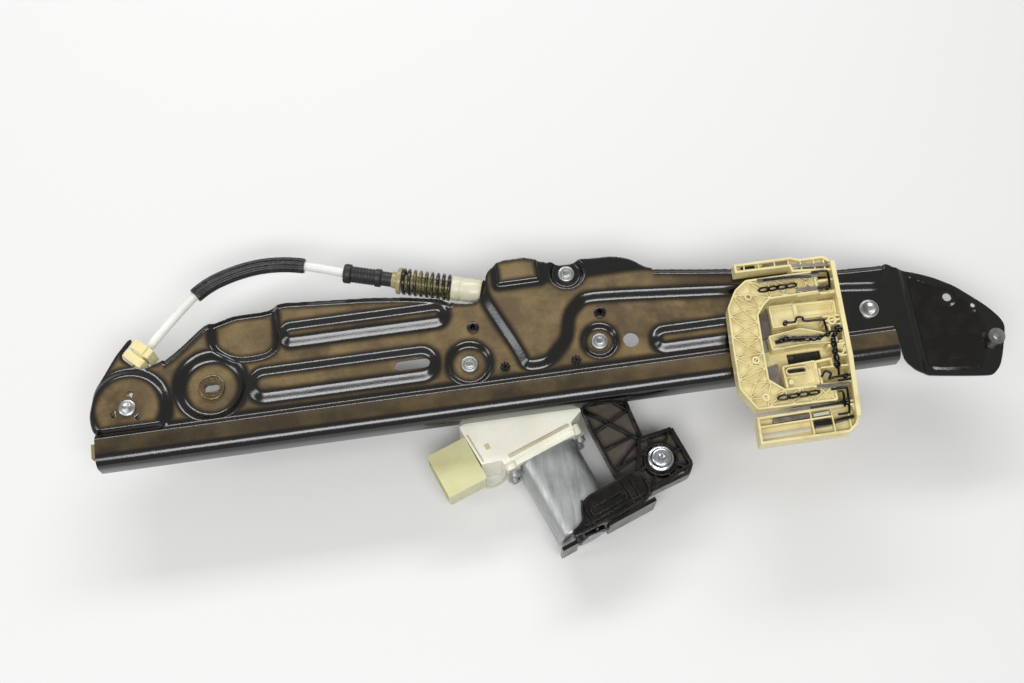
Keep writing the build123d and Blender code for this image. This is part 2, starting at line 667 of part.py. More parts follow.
def snap_pins():
    """Split pins whose heads hold the housing while it is riveted."""
    pins = []
    for x, y in SNAP_SPOTS:
        pin = cyl(x, y, HOUSING_BOTTOM + 5.3, 0, SNAP_R)
        pin += Pos(x, y, 0) * Cone(3.3, 1.6, 1.8, align=BASE)
        pins.append(pin - Pos(x, y, 0.6) * Box(8, 0.8, 4))
    return Compound(pins)


# ---------------------------------------------------------------- gear unit
def in_motor(s, n, z):
    """Location in the motor's frame: s away from the gears, n across, z up."""
    return along(MOTOR_START, MOTOR_ANGLE, MOTOR_Z) * Pos(s, n, z)


def shaft_piece(s0, s1, r):
    """Round piece on the motor's axis."""
    return in_motor(s0, 0, 0) * Rot(0, 90, 0) * Cylinder(r, s1 - s0, align=BASE)


def worm_station():
    """Distance along the motor's axis to the point opposite the drum's axis."""
    angle = math.radians(MOTOR_ANGLE)
    x = DRUM_CENTRE[0] - MOTOR_START[0]
    y = DRUM_CENTRE[1] - MOTOR_START[1]
    return x * math.cos(angle) + y * math.sin(angle)


def wheel_radius():
    angle = math.radians(MOTOR_ANGLE)
    x = DRUM_CENTRE[0] - MOTOR_START[0]
    y = DRUM_CENTRE[1] - MOTOR_START[1]
    return -x * math.sin(angle) + y * math.cos(angle) - WORM_R - SIDE_GAP


def gear_housing():
    """Plastic casing of worm and wheel, open at the back for its cover."""
    r_wheel = wheel_radius() + WHEEL_ROOM
    ws = worm_station()
    body = cyl(*DRUM_CENTRE, GEAR_BOTTOM, GEAR_TOP, r_wheel + GEAR_WALL)
    tunnel = in_motor((ws - 24 - MODULE_END) / 2 + MODULE_END, 0, -0.5)
    length = -(ws - 24) + MODULE_END
    body += tunnel * Box(length, 24, 21)
    body += in_motor(MODULE_END - 1.5, 6, 0) * Box(3, 44, 30)
    inside = cyl(*DRUM_CENTRE, GEAR_BOTTOM - 1, GEAR_TOP - 3, r_wheel)
    body -= inside
    body -= shaft_piece(ws - 19, MODULE_END + 1, WORM_R + 2.0)
    body -= cyl(*DRUM_CENTRE, GEAR_BOTTOM - 5, 0, HUB_R + SIDE_GAP)
    for turn in range(8):
        rib = Rot(0, 0, 45 * turn) * Pos(20, 0, 0) * Box(17, 1.6, 1.6)
        body += Pos(*DRUM_CENTRE, GEAR_TOP - 3.8) * rib
    return body


def gear_cover():
    """Steel lid pressed over the back of the gear housing."""
    r = wheel_radius() + WHEEL_ROOM + GEAR_WALL
    lid = cyl(*DRUM_CENTRE, GEAR_BOTTOM - 1.5, GEAR_BOTTOM, r)
    lid -= pipe(*DRUM_CENTRE, GEAR_BOTTOM - 2, GEAR_BOTTOM - 0.9, 20, 14)
    return lid


def drum_axle():
    """Fixed steel pin that carries both the worm wheel and the drum."""
    top = CABLE_Z + DRUM_WIDTH / 2 - 0.5
    return cyl(*DRUM_CENTRE, GEAR_BOTTOM, top, AXLE_R)


def worm_wheel():
    """Plastic wheel driven by the worm."""
    tip = wheel_radius()
    z0 = MOTOR_Z - WHEEL_WIDTH / 2
    wheel = cyl(*DRUM_CENTRE, z0, z0 + WHEEL_WIDTH, tip)
    wheel -= pipe(*DRUM_CENTRE, z0 + 4, z0 + 20, tip - 4, 11)
    wheel -= cyl(*DRUM_CENTRE, z0 - 1, z0 + 20, AXLE_R + RUNNING_GAP)
    gaps = []
    for tooth in range(WHEEL_TEETH):
        turned = Rot(0, 0, 360 / WHEEL_TEETH * tooth)
        gaps.append(turned * Pos(tip, 0, z0) * Box(3.0, 1.5, 30))
    wheel -= Pos(*DRUM_CENTRE, 0) * Compound(gaps)
    return wheel


def coupling_damper():
    """Rubber cushion between the worm wheel and the drum's hub."""
    z0 = MOTOR_Z + WHEEL_WIDTH / 2
    ring = pipe(*DRUM_CENTRE, z0, DRUM_HUB_BOTTOM, 10.5, 4.6)
    for turn in range(3):
        lobe = Rot(0, 0, 120 * turn) * Pos(7.5, 0, z0) * Box(2.5, 2.5, 20, align=BASE)
        ring -= Pos(*DRUM_CENTRE, 0) * lobe
    return ring


def armature():
    """Turning part of the motor: shaft, worm, commutator and laminations."""
    ws = worm_station()
    core_r = magnet_radius() - MAGNET_THICKNESS - AIR_GAP
    core_start = MAGNET_START + 2
    core_end = CAN_LENGTH - MAGNET_END_ROOM - 4
    shaft = shaft_piece(ws - 18, CAN_LENGTH + END_BOSS_LENGTH - 2, SHAFT_R)
    shaft += shaft_piece(ws - 13, ws + 13, WORM_R - 1.0)
    for turn in range(9):
        s = ws - 12 + turn * 2.9
        shaft += shaft_piece(s, s + 1.2, WORM_R)
    shaft += shaft_piece(2, 2 + COMMUTATOR_LENGTH, COMMUTATOR_R)
    shaft += shaft_piece(core_start, core_end, core_r)
    middle = in_motor((core_start + core_end) / 2, 0, 0)
    for slot in range(8):
        turned = Rot(45 * slot, 0, 0) * Pos(0, 0, core_r - 1)
        shaft -= middle * turned * Box(core_end - core_start + 8, 1.6, 5)
    return shaft


def magnet_radius():
    """Outer radius of the magnets, which lie against the can's flat sides."""
    return CAN_HEIGHT / 2 - CAN_WALL - 2 * SEAT_GAP


def on_ear(side, s, z):
    """Place on the axis of one of the can's ear screws, its Z along the motor's axis."""
    return in_motor(s, side * (CAN_WIDTH / 2 + 4), z) * Rot(0, 90, 0)


EAR_SCREWS = [(side, z) for side in (-1, 1) for z in (-CAN_HEIGHT / 4, CAN_HEIGHT / 4)]


def motor_can():
    """Deep-drawn steel can with flat sides, ears and an end bearing boss."""
    radius = CAN_HEIGHT * 0.36
    profile = RectangleRounded(CAN_WIDTH, CAN_HEIGHT, radius)
    place = in_motor(0, 0, 0) * Rot(0, 90, 0) * Rot(0, 0, 90)
    outer = extrude(profile, amount=CAN_LENGTH)
    outer = fillet(outer.faces().sort_by(Axis.Z)[-1].edges(), 3.0)
    inner = RectangleRounded(
        CAN_WIDTH - 2 * CAN_WALL, CAN_HEIGHT - 2 * CAN_WALL, radius - CAN_WALL)
    can = place * (outer - Pos(0, 0, -1) * extrude(inner, amount=CAN_LENGTH - CAN_WALL + 1))
    for side in (-1, 1):
        ear = in_motor(1, side * (CAN_WIDTH / 2 + 3.5), 0) * Box(2, 9, 26)
        can += ear
    boss_end = CAN_LENGTH + END_BOSS_LENGTH
    can += shaft_piece(CAN_LENGTH - 0.2, boss_end, END_BOSS_R)
    can -= shaft_piece(CAN_LENGTH - 3, boss_end - CAN_WALL, SHAFT_R + RUNNING_GAP)
    for side, z in EAR_SCREWS:
        can -= on_ear(side, -3, z) * Cylinder(1.9, 12)
    return can


def can_screws():
    """Four screws through the can's ears into the electronics housing."""
    screws = []
    for side, z in EAR_SCREWS:
        screw = Pos(0, 0, -7) * Cylinder(1.8, 9, align=BASE)
        screw += Pos(0, 0, 2) * Cylinder(3.3, 3.2, align=BASE)
        screw -= Pos(0, 0, 4) * Cylinder(1.5, 3, align=BASE)
        screws.append(on_ear(side, 0, z) * screw)
    return Compound(screws)


def motor_magnets():
    """Two curved magnets inside the can."""
    outer = magnet_radius()
    end = CAN_LENGTH - MAGNET_END_ROOM
    ring = shaft_piece(MAGNET_START, end, outer)
    ring -= shaft_piece(MAGNET_START - 1, end + 1, outer - MAGNET_THICKNESS)
    gap = in_motor(CAN_LENGTH / 2, 0, 0) * Box(CAN_LENGTH, 40, 9)
    return ring - gap


MODULE = [
    (-38, -46.5), (-12, -45.5), (-8, -CAN_WIDTH / 2 - 9.5), (-4, -CAN_WIDTH / 2 - 8.5),
    (-4, CAN_WIDTH / 2 + 1.5), (-9, CAN_WIDTH / 2 + 2.5), (-13, CAN_WIDTH / 2 + 13),
    (MODULE_END, CAN_WIDTH / 2 + 10.5), (MODULE_END, -46.5),
]


def module_prism(z0, z1, inset=0.0):
    """Upright prism over the electronics module's outline, in the motor's frame."""
    face = make_face(Polyline(*MODULE, close=True))
    if inset > 0:
        face = offset(face, -inset, kind=Kind.INTERSECTION)
    return in_motor(0, 0, z0) * extrude(face, amount=z1 - z0)


def electronics_housing():
    """White housing of the motor's electronics and brush gear."""
    body = module_prism(MODULE_LOW, MODULE_TOP)
    hollow = module_prism(MODULE_LOW - 1, MODULE_TOP - 2.0, 2.2)
    tube = shaft_piece(-60, 20, 11)
    body -= hollow - tube
    body -= shaft_piece(-60, 20, 8.0)
    body += in_motor(-2, 0, 0) * Box(4, CAN_WIDTH + 2, CAN_HEIGHT + 2)
    body -= shaft_piece(-5, 20, 8.0)
    for s, n in BOARD_POSTS:
        length = MODULE_TOP - 2.0 - BOARD_TOP
        post = Cylinder(1.8, length + 0.5, align=BASE)
        body += in_motor(s, n, BOARD_TOP) * post
    ledge = in_motor(-6.4, -3, MODULE_TOP + 0.4) * Box(3, 54, 0.8)
    body += ledge
    for side, z in EAR_SCREWS:
        body += on_ear(side, -4, z) * Cylinder(4.2, 8)
        body -= on_ear(side, 0, z) * Cylinder(1.9, 40)
    return body


def electronics_cover():
    return module_prism(MODULE_LOW - 1.8, MODULE_LOW)


def circuit_board():
    """Board inside the electronics housing, with its larger components."""
    board = in_motor(-28, -30, BOARD_TOP - 0.8) * Box(25, 24, 1.6)
    board += in_motor(-30, -34, 0) * Box(10, 10, 7)
    board += in_motor(-20, -26, -1) * Box(6, 12, 5)
    return board


def brush_holder():
    """Ring with the two carbon brushes that ride on the commutator."""
    outer = magnet_radius() - 0.7
    ring = shaft_piece(3.5, 9.5, outer) - shaft_piece(0, 20, outer - 4)
    inner = COMMUTATOR_R + SIDE_GAP
    length = outer - 1 - inner
    for side in (-1, 1):
        ring += in_motor(6.5, side * (inner + length / 2), 0) * Box(6, length, 6)
    return ring - shaft_piece(0, 20, inner)


def connector_shell():
    """Socket for the door harness, open away from the motor."""
    place = in_motor(*CONNECTOR_SPOT, CONNECTOR_Z)
    shell = Box(CONNECTOR_WIDTH, CONNECTOR_DEPTH, CONNECTOR_HEIGHT)
    shell = fillet(shell.edges().filter_by(Axis.Z), 1.5)
    shell -= Pos(0, -CONNECTOR_BACK, 0) * Box(
        CONNECTOR_WIDTH - 2 * CONNECTOR_WALL, CONNECTOR_DEPTH,
        CONNECTOR_HEIGHT - 2 * CONNECTOR_WALL)
    key_height = 3.2
    key_z = CONNECTOR_HEIGHT / 2 - CONNECTOR_WALL - key_height / 2 + 0.1
    for side in (-1, 1):
        shell += Pos(side * CONNECTOR_WIDTH * 0.265, -3.5, key_z) * Box(1.6, 22, key_height)
    return place * shell


def connector_pins():
    """Blades and pins inside the harness socket."""
    place = in_motor(*CONNECTOR_SPOT, CONNECTOR_Z)
    back = CONNECTOR_DEPTH / 2 - CONNECTOR_BACK
    pins = []
    for column in range(-2, 3):
        for row in (-4, 4):
            pins.append(place * Pos(5 * column, back - 5.5, row) * Box(1.6, 11, 0.8))
    return Compound(pins)


keep("drum_housing", drum_housing())
keep("housing_rivets", housing_rivets())
keep("locating_pins", locating_pins())
keep("snap_pins", snap_pins())
keep("gear_housing", gear_housing())
keep("gear_cover", gear_cover())
keep("drum_axle", drum_axle())
keep("worm_wheel", worm_wheel())
keep("coupling_damper", coupling_damper())
keep("armature", armature())
keep("motor_can", motor_can())
keep("can_screws", can_screws())
keep("motor_magnets", motor_magnets())
keep("electronics_housing", electronics_housing())
keep("electronics_cover", electronics_cover())
keep("circuit_board", circuit_board())
keep("brush_holder", brush_holder())
keep("connector_shell", connector_shell())
keep("connector_pins", connector_pins())


# ---------------------------------------------------------------- motor bracket and small parts
BRACKET = [
    (-48.2, -9), (-39.0, -38), (-36.5, -50), (-24, -88), (-16, -104), (-1.4, -104.2),
    (30.2, -88.5), (20.5, -61.5), (-1, -66), (-7, -42), (-14, -8), (-36, 6),
]


def wall_between(p, q, width, z0, z1):
    """Upright wall from one point to another."""
    run = Vector(q[0] - p[0], q[1] - p[1])
    angle = math.degrees(math.atan2(run.Y, run.X))
    wall = Pos(run.length / 2, 0, 0) * Box(run.length, width, z1 - z0, align=BASE)
    return along(p, angle, z0) * wall


def motor_bracket():
    """Ribbed plastic arm from the gear housing to the mounting bolt and the can's end."""
    face = make_face(Polyline(*BRACKET, close=True))
    arm = Pos(0, 0, BRACKET_LOW) * extrude(face, amount=BRACKET_TOP - BRACKET_LOW)
    hollow = offset(face, -2.4, kind=Kind.INTERSECTION)
    arm -= Pos(0, 0, BRACKET_LOW + 3) * extrude(hollow, amount=40)
    ribs = [((-48, -9), (-7, -42)), ((-39, -38), (-14, -8)), ((-39, -38), (-1, -66)),
            ((-36.5, -50), (-7, -42)), ((-24, -88), (-1, -66)), ((-30, -70), (20, -62))]
    lattice = wall_between(*ribs[0], 1.8, BRACKET_LOW, BRACKET_TOP - 1)
    for p, q in ribs[1:]:
        lattice += wall_between(p, q, 1.8, BRACKET_LOW, BRACKET_TOP - 1)
    arm += lattice & (Pos(0, 0, BRACKET_LOW) * extrude(face, amount=20))
    arm += cyl(*BOLT_CENTRE, BRACKET_LOW - 4, BRACKET_TOP, BOLT_BOSS_R)
    for turn in range(8):
        rib = Rot(0, 0, 45 * turn + 20) * Pos(BOLT_BOSS_R + 1.5, 0, 0) * Box(8, 1.6, 9, align=BASE)
        arm += (Pos(*BOLT_CENTRE, BRACKET_LOW) * rib)
    side = CAN_WIDTH / 2
    top = CAN_HEIGHT / 2
    arm += in_motor(CAN_LENGTH + 4.2, 18, 3) * Box(5.6, 66, CAN_HEIGHT - 4)
    arm += in_motor(CAN_LENGTH - 6, side + 12.5, top - 1.5) * Box(20, 18, 5)
    arm += in_motor(CAN_LENGTH - 9, 21, top + 2.4) * Box(18, 42, 3.6)
    arm += in_motor(CAN_LENGTH - 6, side + 3, 4) * Box(20, 3, CAN_HEIGHT - 6)
    arm -= shaft_piece(CAN_LENGTH - 2, CAN_LENGTH + 2 * END_BOSS_LENGTH, END_BOSS_R + 0.4)
    room = in_motor(CAN_LENGTH / 2 - 1, 0, 0)
    arm -= room * Box(CAN_LENGTH + 3.2, CAN_WIDTH + 0.6, CAN_HEIGHT + 0.6)
    arm -= cyl(*DRUM_CENTRE, BRACKET_LOW - 40, 0, wheel_radius() + WHEEL_ROOM + GEAR_WALL)
    arm -= module_prism(-40, 40)
    return arm - cyl(*BOLT_CENTRE, BRACKET_LOW - 40, 0, BUSH_R)


def bracket_bush():
    """Steel compression bush in the bracket's bolt boss."""
    return pipe(*BOLT_CENTRE, BRACKET_LOW - 5, BRACKET_TOP + 0.6, BUSH_R, BOLT_HOLE_R)


def bracket_bolt():
    """Six-lobe flange bolt of the bracket."""
    top = BRACKET_TOP + 0.6
    flange_top = top + BOLT_FLANGE_HEIGHT
    socket = flange_top + 0.4
    bolt = cyl(*BOLT_CENTRE, BOLT_TIP, top, BOLT_R)
    bolt += cyl(*BOLT_CENTRE, BOLT_SHANK_LOW, top, BOLT_SHANK_R)
    bolt += cyl(*BOLT_CENTRE, top, flange_top, BOLT_FLANGE_R)
    head = Cone(BOLT_HEAD_R, BOLT_HEAD_R - 1.6, BOLT_HEAD_HEIGHT, align=BASE)
    bolt += Pos(*BOLT_CENTRE, flange_top) * head
    lobes = cyl(*BOLT_CENTRE, socket, top + 10, 2.6)
    for turn in range(6):
        lobes += cyl(*polar(BOLT_CENTRE, 2.5, 60 * turn), socket, top + 10, 0.9)
    return bolt - lobes


def slotted_bush():
    """Collar with an oblong hole, crimped in the plate's lower cup."""
    floor = -BUSH_CUP_DROP
    bush = cyl(*BUSH_CENTRE, floor - STEEL - 1.2, floor, BUSH_BODY_R)
    bush += cyl(*BUSH_CENTRE, floor, floor + 1.4, BUSH_COLLAR_R)
    bush += cyl(*BUSH_CENTRE, floor - STEEL - 2.4, floor - STEEL, BUSH_BODY_R + 2)
    opening = extrude(SlotOverall(BUSH_SLOT_LENGTH, BUSH_SLOT_WIDTH), amount=20)
    return bush - Pos(*BUSH_CENTRE, floor - 10) * opening


def upper_stud():
    """Clinch nut at the plate's upper end, with the stud that bolts it to the door."""
    z = -END_DROP
    nut = cyl(*STUD_CENTRE, z - STEEL - 1.0, z, STUD_HOLE_R - SEAT_GAP)
    nut += cyl(*STUD_CENTRE, z, z + 5.0, 6.0)
    nut -= cyl(*STUD_CENTRE, z - 10, z + 10, 2.6)
    return nut


def end_pad():
    """Crinkled protective film wrapped over the plate's upper end."""
    z = -END_DROP
    outline = [(212, 19), (224, 15), (236, 7), (249, -5), (258, -17), (254, -40), (247, -56),
               (212, -52)]
    film = prism(outline, z, z + 1.2)
    film -= cyl(*STUD_CENTRE, z - 5, z + 5, 6.4)
    film -= cyl(*UPPER_HOLE, z - 5, z + 5, UPPER_HOLE_R + 1.5)
    film -= cyl(*WITNESS_HOLE, z - 5, z + 5, WITNESS_HOLE_R + 1.5)
    return film


def rail_buffer():
    """Rubber stop clipped on the rail's lower end."""
    x = RAIL_LEFT
    z = RAIL_TOP - STEEL
    pad = block(x, x + 9, -34, -24, z - 6, z)
    pad += block(x - 2.4, x, -34, -24, z - 6, z + 1.2)
    return pad


# ---------------------------------------------------------------- glass slider
FRAME_OUTER = [
    (134, 25.5), (85, 25.2), (76.5, 19), (69.3, 7), (67, -24), (65.8, -53), (75, -68.8),
    (130, -69.8),
]
FRAME_INNER = [
    (134, 10.5), (99, 10.0), (94, 6), (88.2, -1), (86.8, -25), (86, -49.5), (96, -58),
    (130, -58.5),
]
CARRIER = [
    (100, 24), (147.6, 24), (146.8, -12), (143.9, -55), (142.6, -82), (112, -84),
    (100, -72), (90, -50), (90, 0),
]
UPPER_ARM = [
    (79, 38.8), (120, 38.8), (126, 36.5), (143, 36.5), (149.6, 31), (149.4, 24.5),
    (119, 27.5), (118, 31.8), (79, 32.2),
]
LOWER_ARM = [
    (73, -74.5), (140.5, -73.5), (142.6, -84), (140, -89), (134, -93.5), (72, -93.5),
]
RIGHT_WALL = [
    (149.8, 31), (147.0, -40), (142.8, -84), (139.8, -84), (143.8, -40), (146.6, 31),
]


def channel(points, z0, z1, floor, wall):
    """Open trough over an outline: a floor with a wall all round it."""
    face = make_face(Polyline(*points, close=True))
    body = Pos(0, 0, z0) * extrude(face, amount=z1 - z0)
    hollow = offset(face, -wall, kind=Kind.INTERSECTION)
    return body - Pos(0, 0, z0 + floor) * extrude(hollow, amount=z1 - z0)


def stations(points, count):
    """Points at even distances along a chain of runs."""
    runs = [math.dist(a, b) for a, b in zip(points, points[1:])]
    total = sum(runs)
    result = []
    for step in range(count + 1):
        left = total * step / count
        index = 0
        while index < len(runs) - 1 and left > runs[index]:
            left -= runs[index]
            index += 1
        result.append(mid(points[index], points[index + 1], left / runs[index]))
    return result


def clamp_frame():
    """C-shaped clamp with its lattice of triangular ribs."""
    outline = FRAME_OUTER + FRAME_INNER[::-1]
    frame = channel(outline, FRAME_LOW, FRAME_TOP, 1.8, 1.6)
    outer = stations(FRAME_OUTER, LATTICE_BAYS)
    inner = stations(FRAME_INNER, LATTICE_BAYS)
    ribs = []
    for bay in range(LATTICE_BAYS):
        ribs.append(wall_between(outer[bay], inner[bay], 1.1, FRAME_LOW, FRAME_TOP))
        middle = mid(inner[bay], inner[bay + 1], 0.5)
        ribs.append(wall_between(outer[bay], middle, 1.1, FRAME_LOW, FRAME_TOP))
        ribs.append(wall_between(middle, outer[bay + 1], 1.1, FRAME_LOW, FRAME_TOP))
    lattice = ribs[0]
    for rib in ribs[1:]:
        lattice += rib
    body = prism(outline, FRAME_LOW, FRAME_TOP)
    return frame + (lattice & body)


def slider_carrier():
    """Plastic slide that rides on the rail and carries the glass clamp."""
    plate = prism(CARRIER, CARRIER_LOW, FRAME_LOW)
    plate += prism(RIGHT_WALL, CARRIER_LOW, WALL_TOP)
    plate += channel(UPPER_ARM, FRAME_LOW + 0.2, WALL_TOP - 3, 2.0, 1.6)
    lower = channel(LOWER_ARM, CARRIER_LOW, FRAME_TOP - 1, 2.0, 1.6)
    plate += lower
    trays = [
        [(116, 5), (145.2, 4), (144.8, -7.5), (116, -7)],
        [(98.5, -40), (121, -39), (121, -56), (98.5, -57)],
        [(121, -39), (134, -38), (134, -46), (121, -46)],
    ]
    for tray in trays:
        plate += channel(tray, FRAME_LOW, FRAME_TOP - 4, 1.5, 1.5)
    for y in (-12.5, -30.5, -58.5):
        plate += wall_between((132, y), (144.5, y + 0.4), 1.5, FRAME_LOW, FRAME_TOP)
    for y in (8.5, 18):
        plate += wall_between((135.5, y), (147, y), 1.5, FRAME_LOW, FRAME_TOP)
    window = prism([(105, -29), (129, -29), (129, -36), (122, -38), (105, -38)], 0, 30)
    plate -= window
    plate -= prism([(137, -32), (142, -32), (142, -36.5), (137, -36.5)], 0, 30)
    return plate + rail_hook()


def rail_hook():
    """Hook of the slide round the rail's flange, with the seat of the cable nipples."""
    gap = SIDE_GAP
    x0, x1 = HOOK
    outer = RAIL_BACK_Y - gap
    inner = RAIL_BACK_Y + STEEL + gap
    floor = RAIL_BOTTOM - gap
    hook = block(x0, x1, outer - 2.8, outer, floor - 2.4, FRAME_LOW)
    hook += block(x0, x1, outer - 2.8, inner + 2.4, floor - 2.4, floor)
    hook += block(x0, x1, inner, inner + 2.4, floor - 2.4, CABLE_Z + 4)
    seat_y = PULLEY_Y - PULLEY_PITCH_R
    hook += block(x0 + 4, x1 - 20, inner, seat_y + 4, CABLE_Z - 4, CABLE_Z + 4)
    for x in NIPPLES:
        hook -= Pos(x, seat_y, CABLE_Z) * Rot(0, 90, 0) * Cylinder(NIPPLE_R + SEAT_GAP, 7)
    hook -= Pos(x0, seat_y, CABLE_Z) * Rot(0, 90, 0) * Cylinder(1.2, 200)
    return hook


def cable_nipples():
    """Two end nipples of the cables, seated in the slide."""
    seat_y = PULLEY_Y - PULLEY_PITCH_R
    nipples = []
    for x in NIPPLES:
        place = Pos(x, seat_y, CABLE_Z) * Rot(0, 90, 0)
        nipples.append(place * (Cylinder(NIPPLE_R, 6.8) - Cylinder(CABLE_R + SIDE_GAP, 10)))
    return Compound(nipples)


def guide_shoe():
    """Sliding pads between the slide and the rail's face."""
    shoe = block(HOOK[0], HOOK[1], RAIL_BACK_Y + 4.6, RAIL_STEP_Y - 3.8,
                 RAIL_TOP + SIDE_GAP / 3, CARRIER_LOW)
    for x in (HOOK[0] + 11, HOOK[1] - 11):
        shoe -= Pos(x, -29, 0) * Box(8, 8, 30)
    return shoe


def clamp_plates():
    """Sheet-metal jaws that press on the glass clip."""
    upper = prism([(89, -1), (97.5, 6.5), (97.5, -16), (89, -16)], FRAME_LOW, FRAME_LOW + 2.5)
    lower = prism([(87.5, -38), (97, -36), (97, -56), (95, -56), (87.5, -49)],
                  FRAME_LOW, FRAME_LOW + 2.5)
    return Compound([upper, lower])


def latch_arm():
    """Springy finger with a pawl that locks the glass clip."""
    outline = [(93, -17.5), (116, -14.5), (121, -16), (133, -20.5), (140, -21.5),
               (140, -28.5), (120, -27), (94, -28)]
    arm = channel(outline, FRAME_LOW, FRAME_TOP - 3, 2.0, 1.8)
    return arm


def pivot_pin():
    """Steel cross pin at the finger's root."""
    return Pos(90.2, -22, FRAME_LOW + 2.4) * Rot(90, 0, 0) * Cylinder(2.4, 8)


WIRES = [
    [(113, -10.5), (132, -11.5), (133.5, -23)],
    [(104, -21.5), (128, -24), (142.8, -20.5)],
    [(136, -24.2), (134.6, -52)],
    [(127, -53.3), (140.6, -53.5)],
    [(95, 16.5), (118, 17)],
    [(92, -64), (116, -64)],
    [(137.5, 22), (143.5, 22), (143.0, 12), (137.5, 12)],
    [(129, -64), (138, -64.5), (136, -80), (130, -81)],
]


def clamp_wires():
    """Bent wire springs and links of the glass clamp."""
    wires = []
    for points in WIRES:
        low = FRAME_TOP
        high = low + WIRE_WIDTH
        wire = wall_between(points[0], points[1], WIRE_WIDTH, low, high)
        for p, q in zip(points[1:], points[2:]):
            wire += wall_between(p, q, WIRE_WIDTH, low, high)
        for spot in points:
            wire += cyl(*spot, low, high + 0.4, WIRE_WIDTH * 0.9)
        wires.append(wire)
    return Compound(wires)


keep("motor_bracket", motor_bracket())
keep("bracket_bush", bracket_bush())
keep("bracket_bolt", bracket_bolt())
keep("slotted_bush", slotted_bush())
keep("upper_clinch_nut", upper_stud())
keep("protective_film", end_pad())
keep("rail_end_buffer", rail_buffer())
keep("slider_carrier", slider_carrier())
keep("clamp_frame", clamp_frame())
keep("clamp_plates", clamp_plates())
keep("latch_arm", latch_arm())
keep("latch_pin", pivot_pin())
keep("clamp_wires", clamp_wires())
keep("cable_nipples", cable_nipples())
keep("guide_shoe", guide_shoe())


os.makedirs("parts", exist_ok=True)
for name, shape in NODES.items():
    export_step(shape, f"parts/{name}.step")

print("conduit bend radii, mm:", [round(r, 1) for r in corner_radii(CONDUIT_ROUTE)])
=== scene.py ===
import json
import math
import random

import bpy
import numpy as np
from mathutils import Matrix, Vector


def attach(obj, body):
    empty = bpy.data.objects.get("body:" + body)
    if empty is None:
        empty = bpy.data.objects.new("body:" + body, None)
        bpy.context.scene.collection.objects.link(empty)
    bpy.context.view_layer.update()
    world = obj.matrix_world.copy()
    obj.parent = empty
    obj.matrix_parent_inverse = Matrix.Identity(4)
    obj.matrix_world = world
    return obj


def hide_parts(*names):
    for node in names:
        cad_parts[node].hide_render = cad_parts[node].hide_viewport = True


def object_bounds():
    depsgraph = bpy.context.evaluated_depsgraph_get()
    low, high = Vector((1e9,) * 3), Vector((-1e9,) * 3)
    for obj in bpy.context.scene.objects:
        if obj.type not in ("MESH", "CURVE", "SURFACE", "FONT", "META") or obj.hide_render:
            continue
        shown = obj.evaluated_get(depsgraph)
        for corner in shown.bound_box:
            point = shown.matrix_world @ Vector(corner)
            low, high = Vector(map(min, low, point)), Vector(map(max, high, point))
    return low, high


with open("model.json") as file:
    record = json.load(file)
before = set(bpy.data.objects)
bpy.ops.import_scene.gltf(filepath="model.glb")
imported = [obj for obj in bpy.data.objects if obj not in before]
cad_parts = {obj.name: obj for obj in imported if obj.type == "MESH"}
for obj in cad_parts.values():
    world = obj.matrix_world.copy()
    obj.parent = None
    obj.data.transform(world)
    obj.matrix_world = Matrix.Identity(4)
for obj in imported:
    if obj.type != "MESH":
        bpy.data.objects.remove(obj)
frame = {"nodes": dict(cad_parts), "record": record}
CAD_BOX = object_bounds()
MM = 0.001

# ---------------------------------------------------------------- camera, floor and light
CAMERA_AZIMUTH = -8.2
CAMERA_ELEVATION = 70.0
CAMERA_DISTANCE = 1.010
CAMERA_TARGET = (-0.0839, 0.0106, 0.0)
LAMP_TARGET = (-0.06, 0.0, 0.0)
FLOOR_REACH = 6.0


def add_camera():
    azimuth = math.radians(CAMERA_AZIMUTH)
    elevation = math.radians(CAMERA_ELEVATION)
    back = Vector((math.sin(azimuth) * math.cos(elevation),
                   -math.cos(azimuth) * math.cos(elevation),
                   math.sin(elevation)))
    data = bpy.data.cameras.new("camera")
    data.lens = 50.0
    data.sensor_width = 36.0
    camera = bpy.data.objects.new("camera", data)
    camera.location = Vector(CAMERA_TARGET) + back * CAMERA_DISTANCE
    camera.rotation_euler = back.to_track_quat("Z", "Y").to_euler()
    bpy.context.scene.collection.objects.link(camera)
    bpy.context.scene.camera = camera


def add_area(name, location, size, power):
    data = bpy.data.lights.new(name, "AREA")
    data.shape = "RECTANGLE"
    data.size, data.size_y = size
    data.energy = power
    lamp = bpy.data.objects.new(name, data)
    lamp.location = location
    aim = Vector(location) - Vector(LAMP_TARGET)
    lamp.rotation_euler = aim.to_track_quat("Z", "Y").to_euler()
    bpy.context.scene.collection.objects.link(lamp)


def add_stage():
    low = CAD_BOX[0][2]
    mesh = bpy.data.meshes.new("floor")
    reach = FLOOR_REACH
    corners = [(-reach, -reach), (reach, -reach), (reach, reach), (-reach, reach)]
    mesh.from_pydata([(x, y, low) for x, y in corners], [], [(0, 1, 2, 3)])
    floor = bpy.data.objects.new("floor", mesh)
    bpy.context.scene.collection.objects.link(floor)
    shader = Shader("floor_paper")
    shader.base.default_value = (0.74, 0.74, 0.74, 1)
    shader.set("Roughness", 0.9)
    shader.set("Specular IOR Level", 0.1)
    floor.data.materials.append(shader.material)


def add_world():
    world = bpy.data.worlds.new("studio")
    bpy.context.scene.world = world
    world.use_nodes = True
    background = world.node_tree.nodes["Background"]
    background.inputs["Color"].default_value = (1.0, 0.99, 0.96, 1)
    background.inputs["Strength"].default_value = 0.30


